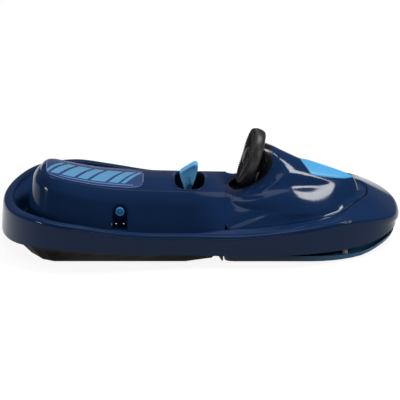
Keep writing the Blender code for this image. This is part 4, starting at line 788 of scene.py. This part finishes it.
def nearest_on(line, y, z):
    """The point of a polyline that is nearest to (y, z)."""
    best = None
    for a, b in zip(line, line[1:]):
        a, b = Vector(a), Vector(b)
        d = b - a
        t = min(max((Vector((y, z)) - a).dot(d) / max(d.length_squared, 1e-12), 0.0), 1.0)
        q = a + d * t
        gap = (q - Vector((y, z))).length
        if best is None or gap < best[0]:
            best = (gap, q)
    return best[1]


def snap_to_seam(mesh, line):
    """Moves the hood's rear edge onto the hump's open edge."""
    x0 = px(HUMP_FRONT)
    for v in mesh.vertices:
        if abs(v.co.x - x0) < SEAM_SLACK:
            y, z = min(line, key=lambda q: math.hypot(q[0] - abs(v.co.y), q[1] - v.co.z))
            if math.hypot(y - abs(v.co.y), z - v.co.z) < SNAP_REACH:
                near = nearest_on(line, abs(v.co.y), v.co.z)
                v.co = (x0, math.copysign(near[0], v.co.y), near[1])


def make_hood(line):
    rings = hood_rings()
    bm = loft_halves(rings, skip=lambda ring, column: ring < 2 and column < CROSSING - 4)
    # Faces inside the cowl's recess take the near-black finish, which is partly black trim and
    # partly painted shade for the deep bowl under the wheel.
    inside = {tuple(round(c, 5) for c in (px(x), abs(y), z))
              for ring in rings[RECESS_RING:] for x, y, z in ring}
    for face in bm.faces:
        keys = [tuple(round(c, 5) for c in (v.co.x, abs(v.co.y), v.co.z)) for v in face.verts]
        face.material_index = int(all(key in inside for key in keys))
    hood = mesh_piece("hood_skin", bm, SHELL, level=2)
    hood.data.materials.append(RECESS_BLACK_AND_SHADE)
    bake(hood)
    snap_to_seam(hood.data, line)
    surface = surface_of(hood)
    add_wall(hood, HOOD_WALL)
    bake(hood)
    hood.data.set_sharp_from_angle(angle=math.radians(50))
    meet_at_seam(hood, line, 0.030)
    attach(hood, "body")
    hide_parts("hood")
    return surface


def make_trim(surface):
    """The light blue trim on the hood, a crowned plate that follows the surface below it."""
    outline = through([(x, y, 0.0) for x, y in TRIM_LINE], 45)
    edge_x = [q[0] for q in outline]
    edge_y = [q[1] for q in outline]
    bm = bmesh.new()
    rows = []
    for n in range(37):
        station = edge_x[0] + (edge_x[-1] - edge_x[0]) * (0.5 - 0.5 * math.cos(math.pi * n / 36))
        half = max(float(np.interp(station, edge_x, edge_y)), 0.0004)
        row = []
        for k in range(25):
            across = math.sin(math.pi / 2 * (k / 12 - 1))
            y = half * across
            inward = half * (1 - abs(across))
            top = height_on(surface, px(station), y)
            rise = TRIM_RISE * (1 - math.exp(-inward / 0.0016))
            rise *= smooth(edge_x[0] - 0.0005, edge_x[0] + 0.003, station)
            rise *= smooth(edge_x[-1] + 0.0005, edge_x[-1] - 0.003, station)
            row.append(bm.verts.new((px(station), y, top + 0.0001 + rise)))
        rows.append(row)
    grid_faces(bm, rows)
    trim = mesh_piece("hood_trim", bm, BRIGHT, wall=0.0008)
    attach(trim, "body")
    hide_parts("hood_insert")


# Steering wheel

WHEEL_X, WHEEL_Z, COLUMN_TILT = 0.657, 0.220, math.radians(18)
WHEEL_RADIUS, RIM_RADIAL, RIM_AXIAL = 0.0785, 0.0105, 0.0200
RIB_COUNT, RIB_STEPS, RIB_DEPTH = 78, 6, 0.0019
HUB_RADIUS, HUB_LENGTH = 0.024, 0.030


def column_frame():
    """Local Z runs up the steering column to the driver, local X up the wheel's face."""
    back = Vector((-math.cos(COLUMN_TILT), 0.0, math.sin(COLUMN_TILT)))
    up = Vector((math.sin(COLUMN_TILT), 0.0, math.cos(COLUMN_TILT)))
    turn = Matrix((up, back.cross(up), back)).transposed().to_4x4()
    return Matrix.Translation((px(WHEEL_X), 0.0, WHEEL_Z)) @ turn


def make_wheel():
    """The ribbed rim, whose driver's side is knurled, with spokes, hub and cap."""
    place = column_frame()
    bm = bmesh.new()
    steps, sides = RIB_COUNT * RIB_STEPS, 28
    middle = WHEEL_RADIUS - RIM_RADIAL
    rings = []
    for s in range(steps):
        turn = 2 * math.pi * s / steps
        phase = (s % RIB_STEPS) / RIB_STEPS
        groove = (0.5 - 0.5 * math.cos(2 * math.pi * phase)) ** 0.6
        ring = []
        for k in range(sides):
            angle = 2 * math.pi * k / sides
            degrees = math.degrees(angle)
            knurl = smooth(12, 20, degrees) * smooth(172, 160, degrees)
            bead = math.exp(-((degrees - 8) / 6) ** 2) * 0.0006
            fit = 1 - (RIB_DEPTH * knurl * groove) / RIM_RADIAL + bead / RIM_RADIAL - 0.04
            flat = (abs(math.cos(angle)) ** 3 + abs(math.sin(angle)) ** 3) ** (-1 / 9)
            ring.append(bm.verts.new((
                (middle + RIM_RADIAL * fit * flat * math.cos(angle)) * math.cos(turn),
                (middle + RIM_RADIAL * fit * flat * math.cos(angle)) * math.sin(turn),
                RIM_AXIAL * fit * flat * math.sin(angle))))
        rings.append(ring)
    for s in range(steps):
        a, b = rings[s], rings[(s + 1) % steps]
        for k in range(sides):
            j = (k + 1) % sides
            bm.faces.new((a[k], b[k], b[j], a[j]))
    bmesh.ops.transform(bm, matrix=place, verts=bm.verts)
    rim = mesh_piece("wheel_grip", bm, GRIP, sharp=math.radians(60))
    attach(rim, "steering")
    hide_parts("steering_wheel")

    profile = [(0.006, -HUB_LENGTH / 2)]
    profile += [(HUB_RADIUS - 0.003 + 0.003 * math.sin(t), -HUB_LENGTH / 2 + 0.003
                 - 0.003 * math.cos(t)) for t in np.linspace(0, math.pi / 2, 5)]
    profile += [(HUB_RADIUS - 0.004 + 0.004 * math.cos(t), HUB_LENGTH / 2 - 0.004
                 + 0.004 * math.sin(t)) for t in np.linspace(0, math.pi / 2, 6)]
    profile += [(HUB_RADIUS * 0.80, HUB_LENGTH / 2 - 0.0004), (HUB_RADIUS * 0.79, HUB_LENGTH / 2)]
    hub = mesh_piece("wheel_hub", turned(profile, 64, place), BLACK)
    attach(hub, "steering")
    for number, angle in enumerate((90, 180, 270), 1):
        rows = []
        for t in np.linspace(0.0, 1.0, 13):
            reach = 0.016 + (middle - 0.016) * t
            half = 0.0125 - 0.0045 * math.sin(math.pi * min(t * 1.15, 1.0))
            thick = 0.0058 - 0.0012 * t
            lift = -0.004 * math.sin(math.pi * t)
            rows.append([(reach, half * math.copysign(abs(math.cos(v)) ** 0.6, math.cos(v)),
                          lift + thick * math.copysign(abs(math.sin(v)) ** 0.7, math.sin(v)))
                         for v in np.linspace(0, 2 * math.pi, 24, endpoint=False)])
        spoke = loft_loops(rows)
        turn = Matrix.Rotation(math.radians(angle), 4, "Z")
        bmesh.ops.transform(spoke, matrix=place @ turn, verts=spoke.verts)
        piece = mesh_piece(f"wheel_spoke_{number}", spoke, BLACK)
        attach(piece, "steering")
    top = HUB_LENGTH / 2
    cap = [(0.0188, top + 0.0004), (0.0188, top + 0.0024), (0.0180, top + 0.0034),
           (0.0150, top + 0.0040), (0.0146, top + 0.0034), (0.0138, top + 0.0034),
           (0.0134, top + 0.0042), (0.0100, top + 0.0052), (0.0050, top + 0.0058),
           (0.0010, top + 0.0060)]
    badge = mesh_piece("wheel_cap_skin", turned(cap, 64, place), GRIP)
    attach(badge, "steering")
    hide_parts("wheel_cap")


def make_column_boot():
    """The black cone round the column, between the wheel and the hood's recess."""
    place = column_frame()
    profile = [(0.0090, -0.0205), (0.0235, -0.0205)]
    profile += [(0.0235 + 0.0110 * t ** 0.8, -0.0210 - 0.0260 * t) for t in
                np.linspace(0.05, 1.0, 14)]
    profile += [(0.0335, -0.0485), (0.0110, -0.0485)]
    boot = mesh_piece("column_boot", turned(profile, 72, place), BLACK)
    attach(boot, "body")


# Brake lever, its pocket and the side knobs

LEVER_LINE = ((0.486, 0.100), (0.4835, 0.118), (0.4775, 0.138), (0.4715, 0.160),
              (0.4685, 0.1735), (0.4700, 0.1805), (0.4780, 0.1870), (0.4900, 0.1945),
              (0.5010, 0.2015), (0.5085, 0.2050), (0.5145, 0.2035), (0.5172, 0.1955),
              (0.5155, 0.1840), (0.5095, 0.1610), (0.5010, 0.1380), (0.4955, 0.120),
              (0.4930, 0.100))


def make_lever():
    """A leaf-shaped paddle with a raised edge round its dished faces, on a narrow arm."""
    count = 96
    line = [(x, 0.0, z) for x, z in LEVER_LINE]
    fine = []
    closed = line + line[:1]
    steps = np.cumsum([0.0] + [math.dist(a, b) for a, b in zip(closed, closed[1:])])
    for want in np.linspace(0, steps[-1], count, endpoint=False):
        i = int(np.clip(np.searchsorted(steps, want, side="right") - 1, 0, len(line) - 1))
        f = (want - steps[i]) / (steps[i + 1] - steps[i])
        p0, p1, p2, p3 = (line[(i + d) % len(line)] for d in (-1, 0, 1, 2))
        fine.append(tuple(0.5 * (2 * p1[c] + (p2[c] - p0[c]) * f
                                 + (2 * p0[c] - 5 * p1[c] + 4 * p2[c] - p3[c]) * f * f
                                 + (3 * p1[c] - p0[c] - 3 * p2[c] + p3[c]) * f ** 3)
                          for c in (0, 2)))
    centre = (0.4925, 0.168)

    def half_thick(z):
        return 0.0050 + 0.0098 * smooth(0.112, 0.150, z)

    def loop(shrink, level):
        out = []
        for x, z in fine:
            s = 1 - (1 - shrink) * smooth(0.100, 0.135, z)
            low = 1 - (1 - shrink) * 0.35
            s = min(s, 1.0) if z > 0.135 else max(s, low)
            out.append((px(centre[0] + (x - centre[0]) * s), level * half_thick(z),
                        centre[1] + (z - centre[1]) * s))
        return out

    levels = [(0.0, -0.66), (0.30, -0.66), (0.62, -0.70), (0.76, -0.80), (0.84, -0.97),
              (0.90, -1.0), (0.960, -0.93), (0.990, -0.74), (1.0, -0.45), (1.0, 0.0)]
    levels += [(a, -b) for a, b in levels[-2::-1]]
    bm = loft_loops([loop(max(a, 0.02), b) for a, b in levels])
    lever = mesh_piece("lever_paddle", bm, LEVER_BLUE, sharp=math.radians(80))
    hub = mesh_piece("lever_hub", turned(((0.0085, -0.0160), (0.0110, -0.0145), (0.0110, 0.0145),
                                          (0.0085, 0.0160)), 40, along_y(LEVER_X, LEVER_Z)),
                     LEVER_BLUE)
    low = LEVER_Z - 0.032
    arm = mesh_piece("lever_arm", prism((
        (px(LEVER_X) - 0.006, low - 0.006), (px(LEVER_X) + 0.006, low - 0.006),
        (px(LEVER_X) + 0.008, LEVER_Z), (px(LEVER_X) - 0.008, LEVER_Z)), -0.0045, 0.0045, "Y"),
        LEVER_BLUE)
    bevelled(arm, 0.0012)
    for piece in (lever, hub, arm):
        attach(piece, "brake_handle")
        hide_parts("brake_lever")


def make_pocket(surface):
    """The lever's pocket: a rolled lip that follows the seat, a smooth wall and a floor; wall and
    floor are painted near black as shade.
    """
    def seat(x, y):
        top = height_on(surface, x, y)
        return 0.15 if top is None else top

    rolled = ((-0.0042, 0.0003), (-0.0036, 0.0012), (-0.0022, 0.0018), (-0.0004, 0.0017),
              (0.0010, 0.0008), (0.0018, -0.0012), (0.0021, -0.0045))
    loops = [[(x, y, seat(x, y) + rise) for x, y in pocket_outline(inset)]
             for inset, rise in rolled]
    for inset, level in ((0.0026, 0.134), (0.0036, 0.118), (0.0060, 0.104), (0.0100, 0.0996),
                         (0.0300, 0.0990)):
        loops.append([(x, y, level) for x, y in pocket_outline(min(inset, 0.028))])
    bm = loft_loops(loops, cap=False)
    bm.faces.new(list(bm.verts)[-POCKET_STEPS:])
    # The lip keeps the shell's finish; the wall and floor take the painted shade.
    for n, face in enumerate(bm.faces):
        face.material_index = int(n >= POCKET_STEPS * (len(rolled) - 1))
    lip = mesh_piece("pocket_lip", bm, SHELL, wall=0.0012)
    lip.data.materials.append(POCKET_SHADE)
    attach(lip, "body")
    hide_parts("lever_housing")


def make_knobs():
    """The two round caps on the brake's cross shaft, each with a lighter raised rim."""
    for word, side in (("left", 1), ("right", -1)):
        low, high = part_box(f"side_knob_{word}")
        radius = (high[2] - low[2]) / 2
        inner, outer = sorted((abs(low[1]), abs(high[1])))
        middle = ((low[0] + high[0]) / 2, (low[2] + high[2]) / 2)
        place = Matrix.Translation((middle[0], 0.0, middle[1])) @ Matrix.Rotation(
            math.radians(-90 * side), 4, "X")
        rim = [(radius * 0.70, inner), (radius - 0.0008, inner), (radius, inner + 0.0010),
               (radius, outer - 0.0030), (radius - 0.0006, outer - 0.0012),
               (radius - 0.0018, outer - 0.0004), (radius - 0.0028, outer - 0.0012),
               (radius - 0.0032, outer - 0.0030), (radius * 0.70, outer - 0.0034)]
        face = [(0.0010, inner + 0.002), (radius - 0.0036, inner + 0.002),
                (radius - 0.0034, outer - 0.0032), (radius - 0.0050, outer - 0.0024),
                (radius * 0.45, outer - 0.0016), (0.0010, outer - 0.0013)]
        for name, profile, finish in (("rim", rim, BRIGHT), ("face", face, KNOB)):
            piece = mesh_piece(f"knob_{name}_{word}", turned(profile, 56, place), finish)
            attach(piece, "brake_claws")
            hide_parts(f"side_knob_{word}")


DECAL_REAR, DECAL_FRONT, DECAL_HALF = 0.115, 0.372, 0.068
BAR_COLOUR, BAR_EDGE = (0.135, 0.380, 0.640), 0.0006


def decal_material():
    """A printed film: a violet ground with a fine hatch, slanted bars and a pale outline."""
    mat = plastic("seat_film", (0.030, 0.062, 0.190), 0.22, grain=0.03, specular=0.20)
    nodes, links = mat.node_tree.nodes, mat.node_tree.links
    shader = nodes["Principled BSDF"]
    ground = shader.inputs["Base Color"].links[0].from_socket

    def maths(operation, *values, clamp=False):
        node = nodes.new("ShaderNodeMath")
        node.operation = operation
        node.use_clamp = clamp
        for socket, value in zip(node.inputs, values):
            if isinstance(value, (int, float)):
                socket.default_value = value
            else:
                links.new(value, socket)
        return node.outputs["Value"]

    def over(base, colour, mask):
        mix = nodes.new("ShaderNodeMix")
        mix.data_type = "RGBA"
        links.new(mask, mix.inputs["Factor"])
        links.new(base, mix.inputs["A"])
        mix.inputs["B"].default_value = (*colour, 1.0)
        return mix.outputs["Result"]

    def band(value, low, high, soft):
        up = maths("MULTIPLY", maths("SUBTRACT", value, low), 1 / soft, clamp=True)
        down = maths("MULTIPLY", maths("SUBTRACT", high, value), 1 / soft, clamp=True)
        return maths("MINIMUM", up, down)

    where = nodes.new("ShaderNodeTexCoord")
    split = nodes.new("ShaderNodeSeparateXYZ")
    links.new(where.outputs["Object"], split.inputs["Vector"])
    x, y = split.outputs["X"], split.outputs["Y"]
    edge = nodes.new("ShaderNodeAttribute")
    edge.attribute_name = "inward"
    inward = edge.outputs["Fac"]
    slant = maths("ADD", x, maths("MULTIPLY", y, -0.55))
    hatch = maths("FRACT", maths("MULTIPLY", maths("ADD", x, maths("MULTIPLY", y, 1.4)), 190.0))
    lines = maths("MULTIPLY", band(hatch, 0.0, 0.36, 0.12), 0.75)
    colour = over(ground, (0.075, 0.120, 0.290), lines)
    tall = band(y, -0.046, 0.040, BAR_EDGE)
    for start, width in ((0.132, 0.010), (0.150, 0.022), (0.180, 0.034), (0.222, 0.026),
                         (0.256, 0.040), (0.304, 0.026), (0.337, 0.012)):
        bar = band(slant, px(start), px(start + width), BAR_EDGE)
        colour = over(colour, BAR_COLOUR, maths("MULTIPLY", bar, tall))
    rule = maths("MULTIPLY", band(y, -0.056, -0.0520, BAR_EDGE),
                 band(x, px(0.150), px(0.345), BAR_EDGE))
    colour = over(colour, BAR_COLOUR, rule)
    colour = over(colour, (0.340, 0.370, 0.560), band(inward, -0.5, 0.0016, 0.0005))
    links.new(colour, shader.inputs["Base Color"])
    return mat


def make_decal(surface):
    """The printed film on the seat, which follows the surface below it."""
    middle, reach = (DECAL_REAR + DECAL_FRONT) / 2, (DECAL_FRONT - DECAL_REAR) / 2
    bm = bmesh.new()
    layer = bm.verts.layers.float.new("inward")
    rows = []
    for n in range(73):
        u = -math.cos(math.pi * n / 72)
        half = max(DECAL_HALF * (1 - abs(u) ** 7) ** (1 / 4.5), 0.001)
        row = []
        for k in range(49):
            v = math.sin(math.pi / 2 * (k / 24 - 1))
            x, y = px(middle + reach * u), half * v
            vert = bm.verts.new((x, y, height_on(surface, x, y) + 0.00035))
            vert[layer] = min(half * (1 - abs(v)), reach * (1 - abs(u)))
            row.append(vert)
        rows.append(row)
    grid_faces(bm, rows)
    film = mesh_piece("seat_decal", bm, decal_material(), wall=0.00025)
    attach(film, "body")


def softbox(name, centre, target, size, power):
    """A rectangular studio lamp, aimed at a point."""
    data = bpy.data.lights.new(name, "AREA")
    data.shape = "RECTANGLE"
    data.size, data.size_y = size
    data.energy = power
    lamp = bpy.data.objects.new(name, data)
    bpy.context.scene.collection.objects.link(lamp)
    lamp.location = centre
    lamp.rotation_mode = "QUATERNION"
    lamp.rotation_quaternion = (Vector(target) - Vector(centre)).to_track_quat("-Z", "Y")


def show():
    """Camera, world and lamps."""
    scene = bpy.context.scene
    data = bpy.data.cameras.new("camera")
    data.lens = LENS
    data.sensor_width = SENSOR
    camera = bpy.data.objects.new("camera", data)
    scene.collection.objects.link(camera)
    distance = VIEW_WIDTH / 2 / (SENSOR / 2 / LENS)
    back = Vector((0.0, -math.cos(VIEW_ELEVATION), math.sin(VIEW_ELEVATION)))
    camera.location = Vector(VIEW_CENTRE) + back * distance
    camera.rotation_mode = "QUATERNION"
    camera.rotation_quaternion = (-back).to_track_quat("-Z", "Y")
    data.clip_start, data.clip_end = 1.0, 200.0
    scene.camera = camera
    scene.view_settings.view_transform = "Standard"

    world = bpy.data.worlds.new("studio")
    scene.world = world
    world.use_nodes = True
    room = world.node_tree.nodes["Background"]
    room.inputs["Color"].default_value = (0.86, 0.88, 1.0, 1.0)
    room.inputs["Strength"].default_value = 0.14

    for name, centre, target, size, power in (
            ("box_key", (1.60, 0.56, 3.15), (0.30, 0.0, 0.18), (0.80, 0.70), 58),
            ("box_top", (-0.50, 0.80, 3.30), (0.0, 0.0, 0.10), (2.40, 2.00), 36),
            ("box_nose", (2.50, -1.65, 1.36), (0.35, 0.0, 0.10), (0.50, 0.35), 18),
            ("box_left", (-3.10, -0.85, 0.92), (-0.42, 0.0, 0.15), (0.50, 0.40), 19),
            ("box_rim", (-0.30, -3.30, 0.60), (0.0, 0.0, 0.10), (2.60, 0.30), 7)):
        softbox(name, centre, target, size, power)


def make_floor():
    """A pale floor, white to the eye, that keeps a soft shadow under the sled."""
    sides, level = 96, -0.0004
    angles = [2 * math.pi * k / sides for k in range(sides)]
    bm = loft_loops([[(r * math.cos(a), r * math.sin(a), level) for a in angles]
                     for r in (16.0, 2.0, 0.5)], cap=False)
    bm.faces.new([v for v in bm.verts if v.co.length < 0.6])
    mat = bpy.data.materials.new("studio_floor")
    mat.use_nodes = True
    nodes, links = mat.node_tree.nodes, mat.node_tree.links
    nodes.clear()
    out = nodes.new("ShaderNodeOutputMaterial")
    add = nodes.new("ShaderNodeAddShader")
    cloth = nodes.new("ShaderNodeBsdfDiffuse")
    cloth.inputs["Color"].default_value = (0.16, 0.16, 0.16, 1.0)
    glow = nodes.new("ShaderNodeEmission")
    path = nodes.new("ShaderNodeLightPath")
    seen = path.outputs["Is Camera Ray"]
    for ray in ("Is Glossy Ray", "Is Transmission Ray"):
        either = nodes.new("ShaderNodeMath")
        either.operation = "MAXIMUM"
        links.new(seen, either.inputs[0])
        links.new(path.outputs[ray], either.inputs[1])
        seen = either.outputs["Value"]
    dimmed = nodes.new("ShaderNodeMath")
    dimmed.operation = "MULTIPLY"
    dimmed.inputs[1].default_value = 0.90
    links.new(seen, dimmed.inputs[0])
    links.new(dimmed.outputs["Value"], glow.inputs["Strength"])
    links.new(cloth.outputs["BSDF"], add.inputs[0])
    links.new(glow.outputs["Emission"], add.inputs[1])
    links.new(add.outputs["Shader"], out.inputs["Surface"])
    floor = mesh_piece("studio_floor", bm, mat)
    if sum(p.normal.z for p in floor.data.polygons) < 0:
        floor.data.flip_normals()


def dress_mechanism():
    """Finishes for the solids that stay as they are."""
    finishes = {"steering_column": BLACK, "column_bush": BLACK, "column_bracket": BLACK,
                "kingpin": STEEL, "kingpin_nut": STEEL, "tiller": STEEL, "brake_shaft": DARK_STEEL,
                "brake_claw_left": DARK_STEEL, "brake_claw_right": DARK_STEEL, "brake_link": STEEL,
                "lever_pin": STEEL, "link_pin": STEEL, "kingpin_bush_lower": BEARING,
                "kingpin_bush_upper": BEARING, "ski_glide_left": BEARING,
                "ski_glide_right": BEARING, "ski": SKI_PLASTIC, "ski_tail": TAIL_PLASTIC,
                "base_pan": PAN_PLASTIC, "knob_recess_left": SHELL, "knob_recess_right": SHELL}
    finishes.update({f"pan_screw_{n}": STEEL for n in range(1, 7)})
    for name, finish in finishes.items():
        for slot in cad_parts[name].material_slots:
            slot.material = finish


show()
make_floor()
tub_surface, seam = make_tub()
hood_surface = make_hood(seam)
make_trim(hood_surface)
make_wheel()
make_column_boot()
make_lever()
make_pocket(tub_surface)
make_knobs()
make_decal(tub_surface)
dress_mechanism()
